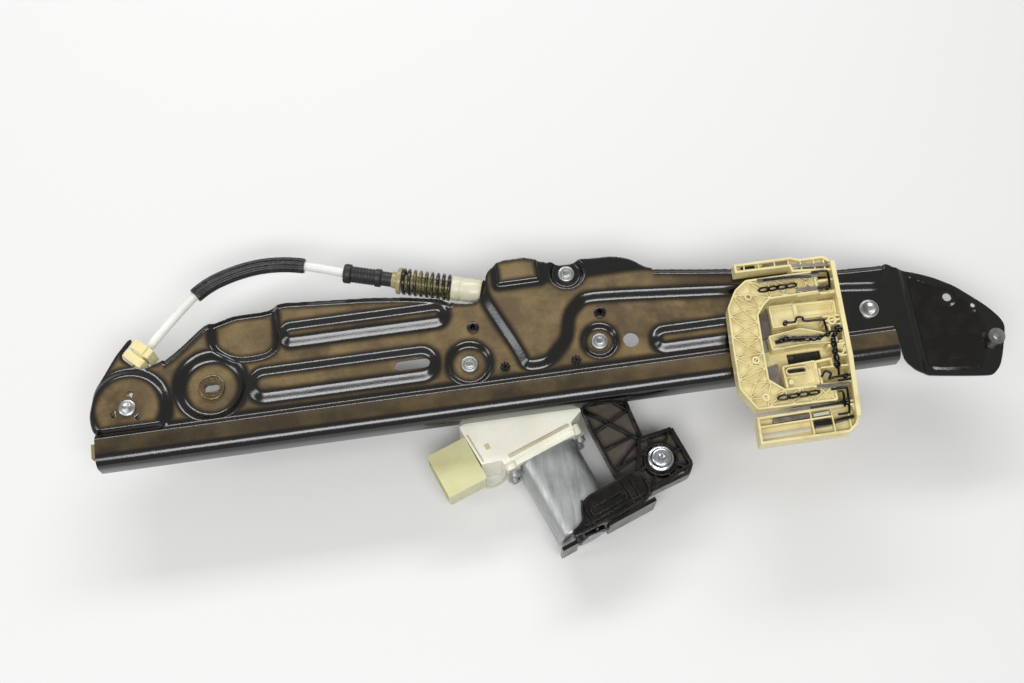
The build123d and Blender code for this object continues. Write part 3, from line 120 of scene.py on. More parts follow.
# ---------------------------------------------------------------- shader helper
class Shader:
    """A procedural material: a Principled shader and short calls that feed it."""

    def __init__(self, name):
        self.material = bpy.data.materials.new(name)
        self.material.use_nodes = True
        self.tree = self.material.node_tree
        self.nodes = self.tree.nodes
        self.shader = self.nodes["Principled BSDF"]
        self.base = self.shader.inputs["Base Color"]
        coordinates = self.nodes.new("ShaderNodeTexCoord")
        self.place = coordinates.outputs["Object"]
        geometry = self.nodes.new("ShaderNodeNewGeometry")
        self.normal = geometry.outputs["True Normal"]

    def set(self, socket, value):
        self.shader.inputs[socket].default_value = value

    def link(self, output, socket):
        self.tree.links.new(output, socket)

    def feed(self, socket, output):
        self.link(output, self.shader.inputs[socket])

    def stretched(self, scale, turn=0.0):
        mapping = self.nodes.new("ShaderNodeMapping")
        mapping.inputs["Scale"].default_value = scale
        mapping.inputs["Rotation"].default_value = (0, 0, turn)
        self.link(self.place, mapping.inputs["Vector"])
        return mapping.outputs["Vector"]

    def noise(self, scale, detail=4.0, roughness=0.55, vector=None):
        node = self.nodes.new("ShaderNodeTexNoise")
        node.inputs["Scale"].default_value = scale
        node.inputs["Detail"].default_value = detail
        node.inputs["Roughness"].default_value = roughness
        self.link(vector or self.place, node.inputs["Vector"])
        return node.outputs["Fac"]

    def span(self, value, low, high, start=0.0, stop=1.0):
        """Maps value from low..high to start..stop, held at both ends."""
        node = self.nodes.new("ShaderNodeMapRange")
        node.interpolation_type = "SMOOTHSTEP"
        for name, number in zip(("From Min", "From Max", "To Min", "To Max"),
                                (low, high, start, stop)):
            node.inputs[name].default_value = number
        self.link(value, node.inputs["Value"])
        return node.outputs["Result"]

    def math(self, operation, first, second):
        node = self.nodes.new("ShaderNodeMath")
        node.operation = operation
        for socket, value in zip(node.inputs, (first, second)):
            if isinstance(value, (int, float)):
                socket.default_value = value
            else:
                self.link(value, socket)
        return node.outputs[0]

    def blend(self, factor, first, second):
        node = self.nodes.new("ShaderNodeMix")
        node.data_type = "RGBA"
        self.link(factor, node.inputs[0])
        for socket, value in zip((node.inputs[6], node.inputs[7]), (first, second)):
            if isinstance(value, tuple):
                socket.default_value = (*value, 1)
            else:
                self.link(value, socket)
        return node.outputs[2]

    def part(self, vector, axis):
        """One component of a vector."""
        node = self.nodes.new("ShaderNodeSeparateXYZ")
        self.link(vector, node.inputs[0])
        return node.outputs[axis]

    def bump(self, height, strength, distance):
        node = self.nodes.new("ShaderNodeBump")
        node.inputs["Strength"].default_value = strength
        node.inputs["Distance"].default_value = distance
        self.link(height, node.inputs["Height"])
        current = self.shader.inputs["Normal"]
        if current.is_linked:
            self.link(current.links[0].from_socket, node.inputs["Normal"])
        self.link(node.outputs["Normal"], current)


# ---------------------------------------------------------------- materials
def plastic(name, colour, stain, roughness, stain_amount=0.5, grain=900.0,
            grime=(0.10, 0.08, 0.05)):
    """Moulded plastic with faint mottling, stains in patches and a fine grain."""
    s = Shader(name)
    broad = s.noise(28, 5)
    patches = s.span(s.noise(60, 6, 0.65), 0.45, 0.75)
    tone = s.blend(s.span(broad, 0.3, 0.7), colour, tuple(c * 0.88 for c in colour))
    stained = s.blend(s.math("MULTIPLY", patches, stain_amount), tone, stain)
    side = s.part(s.normal, 2)
    steep = s.span(s.math("ABSOLUTE", side, 0.0), 0.2, 0.9, 0.55, 0.0)
    specks = s.span(s.noise(420, 3, 0.7), 0.62, 0.78, 0.0, 1.0)
    dirty = s.blend(s.math("MULTIPLY", specks, steep), stained, grime)
    s.link(dirty, s.base)
    s.feed("Roughness", s.span(s.noise(120, 4), 0.3, 0.7, roughness - 0.08, roughness + 0.1))
    s.bump(s.noise(grain, 2), 0.12, 0.0002)
    s.bump(s.noise(70, 3), 0.12, 0.0010)
    return s.material


def metal(name, colour, dark, roughness, brush=(1.0, 1.0, 1.0), scratch=0.35, metallic=1.0):
    """Bare or plated metal with brushing, dull patches and small scratches."""
    s = Shader(name)
    s.set("Metallic", metallic)
    streaks = s.noise(500, 4, 0.6, s.stretched(brush))
    dull = s.noise(35, 5, 0.6)
    tone = s.blend(s.span(dull, 0.35, 0.7), colour, dark)
    fine = s.blend(s.span(streaks, 0.3, 0.75, 0.0, scratch), tone, dark)
    spots = s.span(s.noise(260, 3, 0.75), 0.66, 0.76, 0.0, 0.55)
    s.link(s.blend(spots, fine, tuple(c * 0.4 for c in dark)), s.base)
    s.feed("Roughness", s.span(streaks, 0.25, 0.8, roughness - 0.07, roughness + 0.15))
    s.bump(streaks, 0.10, 0.0002)
    return s.material


def waxed_steel(name, film=(0.088, 0.051, 0.010), dust=(0.195, 0.128, 0.036)):
    """Black electrocoat; the flats carry a brown, dusty film of cavity wax."""
    s = Shader(name)
    flat = s.span(s.part(s.normal, 2), 0.965, 0.998)
    apart = s.nodes.new("ShaderNodeAttribute")
    apart.attribute_name = "film"
    haze = s.span(s.noise(15, 5, 0.62), 0.24, 0.50, 0.55, 1.0)
    streak = s.span(s.noise(60, 5, 0.6, s.stretched((0.35, 1.6, 1.0))), 0.25, 0.6, 0.75, 1.0)
    cover = s.math("MULTIPLY", s.math("MULTIPLY", haze, streak),
                   s.math("MULTIPLY", flat, apart.outputs["Fac"]))
    grains = s.span(s.noise(1300, 3, 0.75), 0.46, 0.66, 0.0, 0.55)
    patches = s.span(s.noise(30, 6, 0.66), 0.40, 0.66, 0.0, 0.9)
    warm = s.blend(patches, film, dust)
    grainy = s.blend(grains, warm, tuple(c * 0.42 for c in film))
    s.link(s.blend(cover, (0.0030, 0.0027, 0.0026), grainy), s.base)
    scuff = s.span(s.noise(700, 3, 0.7, s.stretched((0.15, 1.0, 1.0), 0.5)), 0.6, 0.75, 0.0, 0.10)
    gloss = s.math("ADD", s.math("MULTIPLY", cover, 0.30), scuff)
    s.feed("Roughness", s.math("ADD", gloss, 0.17))
    s.set("Specular IOR Level", 0.8)
    s.bump(s.noise(1100, 3, 0.6), 0.16, 0.0003)
    s.bump(s.noise(45, 3), 0.16, 0.0012)
    return s.material


def rubber(name, colour=(0.012, 0.012, 0.012), roughness=0.5):
    """Dark rubber with a little pale dust."""
    s = Shader(name)
    dust = s.span(s.noise(130, 5, 0.65), 0.5, 0.75, 0.0, 0.35)
    s.link(s.blend(dust, colour, (0.10, 0.095, 0.085)), s.base)
    s.feed("Roughness", s.span(s.noise(300, 3), 0.3, 0.7, roughness - 0.1, roughness + 0.12))
    s.bump(s.noise(900, 3), 0.18, 0.0002)
    return s.material


def materials():
    """Every finish of the object, by the record's slot name."""
    cream = (0.78, 0.69, 0.37)
    return {
        "coated_steel": waxed_steel("coated_steel"),
        "pom_cream": plastic("pom_cream", cream, (0.50, 0.36, 0.13), 0.30, 0.6),
        "pom_natural": plastic("pom_natural", (0.58, 0.56, 0.48), (0.36, 0.30, 0.20), 0.36, 0.4),
        "zinc_steel": metal("zinc_steel", (0.49, 0.51, 0.50), (0.31, 0.33, 0.33), 0.40,
                            (1.0, 0.08, 1.0), metallic=0.85),
        "oiled_steel": metal("oiled_steel", (0.055, 0.052, 0.055), (0.02, 0.018, 0.016), 0.22),
        "worn_zinc": metal("worn_zinc", (0.42, 0.43, 0.43), (0.22, 0.21, 0.19), 0.36),
        "film_steel": metal("film_steel", (0.24, 0.19, 0.115), (0.10, 0.075, 0.045), 0.38),
        "ivory": plastic("ivory", (0.68, 0.66, 0.50), (0.54, 0.48, 0.30), 0.28, 0.5),
        "greased_cream": plastic("greased_cream", (0.34, 0.30, 0.14), (0.05, 0.038, 0.012), 0.20,
                                 0.9),
        "greased_spring": plastic("greased_spring", (0.014, 0.012, 0.008), (0.20, 0.16, 0.035),
                                  0.18, 0.9),
        "sleeve_rubber": rubber("sleeve_rubber", (0.010, 0.010, 0.011), 0.30),
        "bright_steel": metal("bright_steel", (0.66, 0.68, 0.70), (0.36, 0.38, 0.40), 0.26),
        "dusty_plastic": plastic("dusty_plastic", (0.085, 0.071, 0.056), (0.15, 0.125, 0.095),
                                 0.45, 0.8, grime=(0.20, 0.16, 0.12)),
        "seam_plastic": plastic("seam_plastic", (0.58, 0.54, 0.38), (0.40, 0.35, 0.20), 0.3),
        "dark_steel": metal("dark_steel", (0.46, 0.42, 0.37), (0.20, 0.17, 0.14), 0.40),
        "steel_cable": metal("steel_cable", (0.40, 0.38, 0.35), (0.15, 0.13, 0.10), 0.35),
        "spring_steel": metal("spring_steel", (0.10, 0.085, 0.05), (0.03, 0.025, 0.015), 0.3),
        "conduit_white": plastic("conduit_white", (0.80, 0.81, 0.76), (0.62, 0.59, 0.48), 0.3,
                                 0.3),
        "black_rubber": rubber("black_rubber"),
        "black_plastic": plastic("black_plastic", (0.006, 0.005, 0.0045), (0.030, 0.022, 0.014),
                                 0.22, 0.5, grime=(0.09, 0.07, 0.05)),
        "ferrite": plastic("ferrite", (0.08, 0.08, 0.085), (0.05, 0.05, 0.05), 0.6),
        "white_plastic": plastic("white_plastic", (0.93, 0.925, 0.80), (0.84, 0.80, 0.58), 0.30,
                                 0.35),
        "board_green": plastic("board_green", (0.03, 0.16, 0.06), (0.02, 0.09, 0.03), 0.4),
        "green_plastic": plastic("green_plastic", (0.62, 0.60, 0.34), (0.50, 0.45, 0.19), 0.25,
                                 0.6),
        "brass_pins": metal("brass_pins", (0.72, 0.64, 0.42), (0.4, 0.34, 0.2), 0.3),
        "black_film": plastic("black_film", (0.005, 0.0045, 0.004), (0.012, 0.010, 0.008),
                              0.17, 0.5, grime=(0.02, 0.018, 0.015)),
        "olive_plastic": plastic("olive_plastic", (0.22, 0.19, 0.08), (0.12, 0.10, 0.05), 0.55),
    }


def dress_cad(finishes):
    """Gives every CAD node the finish of its slot."""
    slots = {row["node"]: row["material_slot"] for row in frame["record"]["subparts"]}
    for name, node in frame["nodes"].items():
        node.data.materials.clear()
        node.data.materials.append(finishes[slots[name]])
        for face in node.data.polygons:
            face.material_index = 0


def soften(names, width, segments=2, angle=28.0):
    """Rounds the sharp edges of CAD nodes, so that they catch the light."""
    for name in names:
        node = frame["nodes"][name]
        bevel = node.modifiers.new("soft_edges", "BEVEL")
        bevel.width = width * MM
        bevel.segments = segments
        bevel.limit_method = "ANGLE"
        bevel.angle_limit = math.radians(angle)
        bevel.harden_normals = False


FINISH = materials()
dress_cad(FINISH)
for node_name, finish_name in (("slotted_bush", "film_steel"), ("upper_clinch_nut", "worn_zinc")):
    frame["nodes"][node_name].data.materials[0] = FINISH[finish_name]
soften(["connector_shell"], 1.1, 3)
soften(["electronics_housing", "conduit_clip", "motor_can", "slider_carrier"], 0.45)


# ---------------------------------------------------------------- stamped plate
STEEL = 1.5
RAIL_FOOT_Y = -17.0
RAIL_FACE_Y = -20.5
RAIL_TOP = 3.0
RAIL_BACK_Y = -40.5
RAIL_BEND = 8.0
RAIL_BOTTOM = -16.0
RAIL_ENDS = (-380.0, 187.0)
PLATE_OUTLINE = [
    (-380, -17), (-382, -12), (-383, -4), (-380.5, 5), (-378.5, 16), (-363, 40), (-353, 51.5),
    (-350.6, 49.4), (-360.6, 39), (-348, 26.6), (-338, 29), (-328, 33), (-318, 40), (-300, 55),
    (-279, 61), (-256, 61), (-244, 64.3), (-180, 59.3), (-153, 55.7), (-130, 51.4),
    (-122, 45.7), (-108.6, 43.5), (-102, 45.5), (-97.5, 52), (-95.5, 64), (-86, 70.7),
    (-67, 71.4), (-51, 65.7), (-4, 64.3), (8.6, 60.7), (20, 51.4), (50, 47), (80, 43),
    (157, 31), (192, 30), (214.1, 22.5), (225.5, 17.5), (239.3, 8.8), (257.9, -9),
    (265.2, -18.7), (267.5, -25), (266.2, -31), (260.3, -47.3), (256.5, -55.3), (250.9, -60.5),
    (247.5, -61.1), (234.9, -59.6), (216.1, -56.9), (200.5, -54.3), (194.9, -50.8),
    (189, -43), (187.5, -17),
]
LEFT_RIVET = (-356, -1.5)
RIGHT_RIVET = (172.4, -1.5)
BUSH_CENTRE = (-298, 8)
HOUSING_RIVETS = ((-116, -1.4), (-22, 2.6), (-37.6, 57.1))
ROLLED_PINS = ((-110, 25), (-18.6, 23.6))
STAR_PINS = ((-91.4, -7.9), (-41, -10))
UPPER_HOLE = (231.7, 1.1)
WITNESS_HOLE = (248.6, -7.6)
STUD = (257.7, -34.6)
ROUND_HOLES = [(0, 0, 5.5), (*UPPER_HOLE, 3.25), (*WITNESS_HOLE, 1.75), (*STUD, 4.1),
               (*BUSH_CENTRE, 6.1), (*LEFT_RIVET, 4.1), (*RIGHT_RIVET, 4.1)]
ROUND_HOLES += [(*centre, 3.1) for centre in HOUSING_RIVETS + ROLLED_PINS]
ROUND_HOLES += [(*centre, 2.1) for centre in STAR_PINS]
SLIT_TURNS = (75, 200, 315)
RAISED_FIELD = [
    (-104, 95), (-103, 45), (-84, 2), (-79, -13.5), (-60, -13.5), (-41, 5), (-38, 22), (-31, 29),
    (-26, 32), (-3, 30.5), (80, 22.5), (186, 10), (202, 34), (150, 95),
]


def rounded_outline(points, radius, steps=4):
    """Outline whose corners are small curves."""
    result = []
    count = len(points)
    for i in range(count):
        before = np.array(points[i - 1], float)
        here = np.array(points[i], float)
        after = np.array(points[(i + 1) % count], float)
        for other, order in ((before, 0), (after, 1)):
            reach = min(radius, 0.42 * np.linalg.norm(other - here))
            end = here + (other - here) / np.linalg.norm(other - here) * reach
            if order == 0:
                start = end
        for step in range(steps + 1):
            t = step / steps
            result.append((1 - t) ** 2 * start + 2 * t * (1 - t) * here + t * t * end)
    return np.array(result)


def circle_points(x, y, r, count):
    """Even points round a circle, counter-clockwise from +X."""
    return [(x + r * math.cos(turn), y + r * math.sin(turn))
            for turn in np.linspace(0, 2 * math.pi, count, endpoint=False)]


def polygon_distance(x, y, points):
    """Signed distance to an outline, negative inside, for arrays of places."""
    points = np.asarray(points, float)
    best = np.full(x.shape, 1e9)
    inside = np.zeros(x.shape, bool)
    for a, b in zip(points, np.roll(points, -1, axis=0)):
        run = b - a
        t = ((x - a[0]) * run[0] + (y - a[1]) * run[1]) / max(run @ run, 1e-12)
        t = np.clip(t, 0, 1)
        best = np.minimum(best, np.hypot(x - a[0] - t * run[0], y - a[1] - t * run[1]))
        crosses = (a[1] > y) != (b[1] > y)
        if run[1] != 0:
            inside ^= crosses & (x < a[0] + (y - a[1]) / run[1] * run[0])
    return np.where(inside, -best, best)


def stadium_distance(x, y, x0, x1, y0, y1):
    r = (y1 - y0) / 2
    along = np.clip(x, x0 + r, x1 - r)
    return np.hypot(x - along, y - (y0 + y1) / 2) - r


def circle_distance(x, y, cx, cy, r):
    return np.hypot(x - cx, y - cy) - r


def ease(t):
    t = np.clip(t, 0, 1)
    return t * t * (3 - 2 * t)


def plate_height(x, y, edge):
    """Height of the plate's top face, and how far each place is from a bend.

    edge is the signed distance to the plate's outline.
    """
    def up(distance, run):
        return ease(-distance / run)

    bends = np.full(x.shape, 1e9)
    height = np.zeros(x.shape)
    raised = [
        (stadium_distance(x, y, -249, -125, 27.5, 48.5), 3.4, 8.5),
        (stadium_distance(x, y, 13, 161, -14.5, 8), 3.4, 8.5),
        (stadium_distance(x, y, -274, -136, -11, 17), 3.4, 8.5),
        (circle_distance(x, y, *LEFT_RIVET, 31), 4.0, 8.0),
        (polygon_distance(x, y, rounded_outline(RAISED_FIELD, 8)), 3.9, 7.5),
        (polygon_distance(x, y, rounded_outline(
            [(-92, 49), (-92, 90), (-54, 90), (-54, 49)], 5)), 6.4, 5.5),
    ]
    for distance, rise, run in raised:
        height = np.maximum(height, rise * up(distance, run))
        bends = np.minimum(bends, np.abs(distance + run / 2) - run / 2)
    height *= ease((y - RAIL_FOOT_Y) / 3.0 + 0.15)
    sunk = [
        (polygon_distance(x, y, rounded_outline(
            [(-298, 90), (-298, 34), (-281, 22), (-257, 22), (-246, 30), (-246, 90)], 9)),
         4.0, 5.5),
        (circle_distance(x, y, *BUSH_CENTRE, 27), 5.0, 8.5),
        (circle_distance(x, y, *HOUSING_RIVETS[0], 17), 3.0, 4.5),
        (circle_distance(x, y, *HOUSING_RIVETS[1], 13.5), 3.0, 4.0),
        (circle_distance(x, y, *HOUSING_RIVETS[2], 13.5), 3.0, 4.0),
    ]
    for distance, drop, run in sunk:
        bends = np.minimum(bends, np.abs(distance + run / 2) - run / 2)
        share = up(distance, run)
        height = height * (1 - share) - drop * share
    height -= 4.0 * ease((x - 198.0) / 8.0)
    lip = ease((edge + 4.6) / 4.6)
    top_edge = (y > 20) & (((x > -330) & (x < -123)) | ((x > 24) & (x < 190)))
    height -= np.where(top_edge, 2.6 * lip, 0.25 * ease((edge + 1.2) / 1.2))
    bends = np.minimum(bends, np.minimum(-edge - np.where(top_edge, 4.6, 1.0), y - RAIL_FOOT_Y - 3))
    return height, bends


def hole_distance(x, y):
    """Positive inside any hole of the plate."""
    inside = np.full(x.shape, -1e9)
    for cx, cy, r in ROUND_HOLES:
        inside = np.maximum(inside, -circle_distance(x, y, cx, cy, r))
    inside = np.maximum(inside, -stadium_distance(x, y, -168.5, -143.5, -1, 6))
    for turn in SLIT_TURNS:
        c, s = math.cos(math.radians(turn)), math.sin(math.radians(turn))
        across, up = x - LEFT_RIVET[0], y - LEFT_RIVET[1]
        u = across * c + up * s - 10.6
        v = -across * s + up * c
        inside = np.maximum(inside, -np.maximum(np.abs(u) - 1.6, np.abs(v) - 2.2))
    return inside


def sheet_faces(keep):
    """Quads, and triangles at the rim, over the kept points of a grid."""
    index = np.arange(keep.size).reshape(keep.shape)
    corner = [index[:-1, :-1], index[:-1, 1:], index[1:, 1:], index[1:, :-1]]
    held = [keep[:-1, :-1], keep[:-1, 1:], keep[1:, 1:], keep[1:, :-1]]
    total = sum(h.astype(int) for h in held)
    faces = np.stack([c[total == 4] for c in corner], axis=1).tolist()
    for r, c in np.argwhere(total == 3):
        faces.append([int(k[r, c]) for k, h in zip(corner, held) if h[r, c]])
    return faces


def kept_points(faces, x, y, z):
    """The points that faces use, in order, and each grid point's new number."""
    used = np.unique(np.concatenate([np.array(f) for f in faces]))
    renumber = np.full(x.size, -1)
    renumber[used] = np.arange(used.size)
    points = np.stack([x.ravel()[used], y.ravel()[used], z.ravel()[used]], axis=1)
    return points, [[int(renumber[i]) for i in f] for f in faces], used


def plate_mesh(cell=0.85):
    """Skin of the plate as a fine mesh with smooth stamped bends."""
    outline = rounded_outline(PLATE_OUTLINE, 5)
    xs = np.arange(-386, 270, cell)
    ys = np.arange(-63, 74, cell)
    x, y = np.meshgrid(xs, ys)

    def outside(px, py):
        return np.maximum(polygon_distance(px, py, outline), hole_distance(px, py))

    d = outside(x, y)
    step = 0.05
    for _ in range(2):
        gx = (outside(x + step, y) - outside(x - step, y)) / (2 * step)
        gy = (outside(x, y + step) - outside(x, y - step)) / (2 * step)
        size = np.maximum(np.hypot(gx, gy), 0.5)
        near = np.abs(d) < 0.62 * cell
        x = np.where(near, x - gx / size * d, x)
        y = np.where(near, y - gy / size * d, y)
        d = outside(x, y)
    keep = d < 0.04 * cell
    edge = polygon_distance(x, y, outline)
    z, bends = plate_height(x, y, np.minimum(edge, 0))
    film = ease((bends + 0.8) / 4.8)
    film *= 1 - ease((y - 47) / 5) * ease((x + 60) / 4)
    film *= 1 - ease((x - 118) / 47)
    film *= 1 - 0.75 * ease((y - 24) / 14) * ease((x - 20) / 60)
    top, upper, used = kept_points(sheet_faces(keep), x, y, z)
    bottom = top - np.array([0, 0, STEEL])
    count = used.size
    lower = [[i + count for i in reversed(f)] for f in upper]
    edges = {}
    for f in upper:
        for a, b in zip(f, f[1:] + f[:1]):
            if (b, a) in edges:
                del edges[(b, a)]
            else:
                edges[(a, b)] = True
    rim = [[b, a, a + count, b + count] for a, b in edges]
    worn = film.ravel()[used]
    return np.concatenate([top, bottom]) * MM, upper + lower + rim, np.tile(worn, 2)


def new_piece(name, points, faces, finish, body, sharp=40.0):
    """Adds a mesh piece that rides on a body."""
    mesh = bpy.data.meshes.new(name)
    mesh.from_pydata([tuple(p) for p in points], [], faces)
    mesh.validate()
    mesh.update()
    mesh.polygons.foreach_set("use_smooth", [True] * len(mesh.polygons))
    mesh.set_sharp_from_angle(angle=math.radians(sharp))
    piece = bpy.data.objects.new(name, mesh)
    bpy.context.scene.collection.objects.link(piece)
    mesh.materials.append(finish)
    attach(piece, body)
    return piece


def arc_points(centre, radius, start, stop, steps):
    """Points on an arc in a section, angles in degrees."""
    return [(centre[0] + radius * math.cos(math.radians(start + (stop - start) * i / steps)),
             centre[1] + radius * math.sin(math.radians(start + (stop - start) * i / steps)))
            for i in range(steps + 1)]


def rail_section():
    """Closed section of the rail: step, face, bend and flange with a rounded hem."""
    centre = (RAIL_BACK_Y + RAIL_BEND, RAIL_TOP - RAIL_BEND)
    top = [(RAIL_FOOT_Y + 0.6, 0.0), (RAIL_FOOT_Y - 0.4, 0.15), (RAIL_FACE_Y + 0.6, 2.75),
           (RAIL_FACE_Y - 0.5, RAIL_TOP), (-30.5, RAIL_TOP + 0.02)]
    top += arc_points(centre, RAIL_BEND, 90, 180, 12)
    hem = arc_points((RAIL_BACK_Y + STEEL / 2, RAIL_BOTTOM + STEEL / 2), STEEL / 2, 180, 360, 6)
    inside = arc_points(centre, RAIL_BEND - STEEL, 180, 90, 8)
    under = [(RAIL_FACE_Y - 0.2, RAIL_TOP - STEEL),
             (RAIL_FOOT_Y + 0.2, -STEEL), (RAIL_FOOT_Y + 0.6, -STEEL)]
    return top + hem + inside + under


def paint_film(piece, values):
    """Stores how thick the wax film lies at each point."""
    layer = piece.data.attributes.new("film", "FLOAT", "POINT")
    layer.data.foreach_set("value", np.asarray(values, np.float32))


def swept_along_x(section, stops):
    """Bar with one section at every stop along X, closed at both ends."""
    count = len(section)
    points = [(x * MM, y * MM, z * MM) for x in stops for y, z in section]
    faces = []
    for row in range(len(stops) - 1):
        for i in range(count):
            j = (i + 1) % count
            a, b = row * count, (row + 1) * count
            faces.append([a + i, a + j, b + j, b + i])
    faces.append(list(range(count))[::-1])
    faces.append([len(points) - count + i for i in range(count)])
    return points, faces


def build_plate():
    points, faces, film = plate_mesh()
    skin = new_piece("plate_skin", points, faces, FINISH["coated_steel"], "carrier",
                     55)
    paint_film(skin, film)
    stops = list(np.linspace(*RAIL_ENDS, 30))
    points, faces = swept_along_x(rail_section(), stops)
    rail = new_piece("guide_rail", points, faces, FINISH["coated_steel"], "carrier",
                     50)
    paint_film(rail, [0.30 + 0.6 * (x + 0.38) if y > -31 * MM else 0.0 for x, y, _ in points])
    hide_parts("carrier_plate")


build_plate()


# ---------------------------------------------------------------- mesh helpers
def prism_data(points, z0, z1):
    """Upright prism over an outline, in millimetres."""
    count = len(points)
    verts = [(x, y, z) for z in (z0, z1) for x, y in points]
    faces = [list(range(count))[::-1], list(range(count, 2 * count))]
    for i in range(count):
        j = (i + 1) % count
        faces.append([i, j, count + j, count + i])
    return verts, faces


def strip_data(p, q, width, z0, z1):
    """Upright wall from one point to another."""
    run = np.array(q, float) - np.array(p, float)
    side = np.array([-run[1], run[0]]) / np.linalg.norm(run) * width / 2
    corners = [np.array(p) + side, np.array(p) - side, np.array(q) - side, np.array(q) + side]
    return prism_data([tuple(c) for c in corners], z0, z1)


def fence_data(points, width, z0, z1, closed=True):
    """Walls along a chain of points."""
    ends = points[1:] + points[:1] if closed else points[1:]
    return [strip_data(p, q, width, z0, z1) for p, q in zip(points, ends)]


def frames_along(path):
    """Tangent and two cross directions at every point of a path."""
    path = np.asarray(path, float)
    tangents = np.gradient(path, axis=0)
    tangents /= np.linalg.norm(tangents, axis=1)[:, None]
    side = np.cross(tangents[0], (0, 0, 1.0))
    if np.linalg.norm(side) < 0.1:
        side = np.cross(tangents[0], (0, 1.0, 0))
    rows = []
    for tangent in tangents:
        side = side - tangent * (side @ tangent)
        side /= np.linalg.norm(side)
        rows.append((side, np.cross(tangent, side)))
    return path, rows


def tube_faces(rings, sides):
    """Two end caps and the walls between rings of points."""
    count = rings * sides
    faces = [list(range(sides)), list(range(count - sides, count))[::-1]]
    for row in range(rings - 1):
        for k in range(sides):
            j = (k + 1) % sides
            base, after = row * sides, (row + 1) * sides
            faces.append([base + j, base + k, after + k, after + j])
    return faces


def rod_data(path, radius, sides=12):
    """Round rod along a path; radius is one number or one for each point."""
    path, rows = frames_along(path)
    radii = np.broadcast_to(radius, len(path))
    verts = []
    for point, (a, b), r in zip(path, rows, radii):
        for k in range(sides):
            turn = 2 * math.pi * k / sides
            verts.append(tuple(point + r * (math.cos(turn) * a + math.sin(turn) * b)))
    return verts, tube_faces(len(path), sides)


def smooth_path(points, steps=5):
    """Catmull-Rom curve through points."""
    points = [np.array(p, float) for p in points]
    points = [2 * points[0] - points[1]] + points + [2 * points[-1] - points[-2]]
    result = []
    for a, b, c, d in zip(points, points[1:], points[2:], points[3:]):
        for step in range(steps):
            t = step / steps
            result.append(0.5 * (2 * b + (c - a) * t + (2 * a - 5 * b + 4 * c - d) * t * t
                                 + (3 * b - a - 3 * c + d) * t ** 3))
    result.append(points[-2])
    return result


def lathe_data(profile, sides=48):
    """Turned shape round the Z axis from (radius, height) pairs, open at both ends."""
    verts = []
    for r, z in profile:
        for k in range(sides):
            turn = 2 * math.pi * k / sides
            verts.append((r * math.cos(turn), r * math.sin(turn), z))
    faces = []
    for row in range(len(profile) - 1):
        for k in range(sides):
            j = (k + 1) % sides
            base, after = row * sides, (row + 1) * sides
            faces.append([base + k, base + j, after + j, after + k])
    return verts, faces


def moved(data, matrix):
    verts, faces = data
    return [tuple(matrix @ Vector(v)) for v in verts], faces


def merged(parts):
    verts, faces = [], []
    for part_verts, part_faces in parts:
        base = len(verts)
        verts += part_verts
        faces += [[base + i for i in face] for face in part_faces]
    return verts, faces


def build(name, parts, finish, body, bevel=0.35, sharp=35.0):
    """Joins parts given in millimetres into one piece with softened edges."""
    verts, faces = merged(parts)
    points = [(x * MM, y * MM, z * MM) for x, y, z in verts]
    piece = new_piece(name, points, faces, FINISH[finish], body, sharp)
    if bevel > 0:
        soft = piece.modifiers.new("soft_edges", "BEVEL")
        soft.width = bevel * MM
        soft.segments = 2
        soft.limit_method = "ANGLE"
        soft.angle_limit = math.radians(35)
    return piece


def place(x, y, z, turn=0.0):
    return Matrix.Translation((x, y, z)) @ Matrix.Rotation(math.radians(turn), 4, "Z")


def lying(x, y, z, turn=0.0):
    """Place whose local Z runs along a direction in the plate's plane."""
    return place(x, y, z, turn) @ Matrix.Rotation(math.radians(90), 4, "Y")


# ---------------------------------------------------------------- motor bracket
MOTOR_PLACE = (-70.2, -64.9, -42.0, -69.5)
MOTOR = place(*MOTOR_PLACE)
MOTOR_AXIS = lying(*MOTOR_PLACE)
CAN_LENGTH = 62.0
BOLT = (9.3, -82.3)
BOLT_TIP = -58.0
BRACKET_LOW = -38.0
BRACKET_TOP = -27.0
ARM = [(-48.2, -9), (-39.0, -38), (-36.5, -50), (-24, -88), (-16, -104), (-1.4, -104.2),
       (30.2, -88.5), (20.5, -61.5), (-1, -66), (-7, -42), (-14, -8), (-36, 6)]
BLOCK = [(-3.5, -66), (20.5, -61.5), (30.2, -88.5), (27, -95), (-1.4, -104.2), (-9.5, -97)]
ARM_RIBS = [((-47, -10), (-8, -42)), ((-39, -38), (-15, -9)), ((-39, -38), (-2, -66)),
            ((-34, -56), (-7, -42)), ((-30, -70), (-7, -62)), ((-25, -86), (-4, -66)),
            ((-18, -100), (-6, -90)), ((-24, -86), (-8, -78))]
CLAW_WALLS = [((61.5, -4), (61.5, 45), 1.3, 17.3, 21.8),
              ((67.8, -25), (67.8, -13), 3.0, -8, 18.2), ((67.8, 12), (67.8, 50), 3.0, -10, 18.2),
              ((44.5, 25.4), (67.0, 25.4), 2.4, -8, 18.0), ((46, 30), (67, 30), 1.6, -4, 17.6),
              ((50, 25), (50, 50), 1.8, -4, 18.0)]


def ray_to_outline(centre, degrees, outline):
    """Point where a ray from a centre leaves an outline."""
    direction = Vector((math.cos(math.radians(degrees)), math.sin(math.radians(degrees))))
    best = None
    for a, b in zip(outline, outline[1:] + outline[:1]):
        ax, ay = a[0] - centre[0], a[1] - centre[1]
        ex, ey = b[0] - a[0], b[1] - a[1]
        cross = direction.x * ey - direction.y * ex
        if abs(cross) < 1e-9:
            continue
        t = (ax * ey - ay * ex) / cross
        u = (ax * direction.y - ay * direction.x) / cross
        if t > 0 and 0 <= u <= 1 and (best is None or t < best):
            best = t
    return (centre[0] + direction.x * best, centre[1] + direction.y * best)


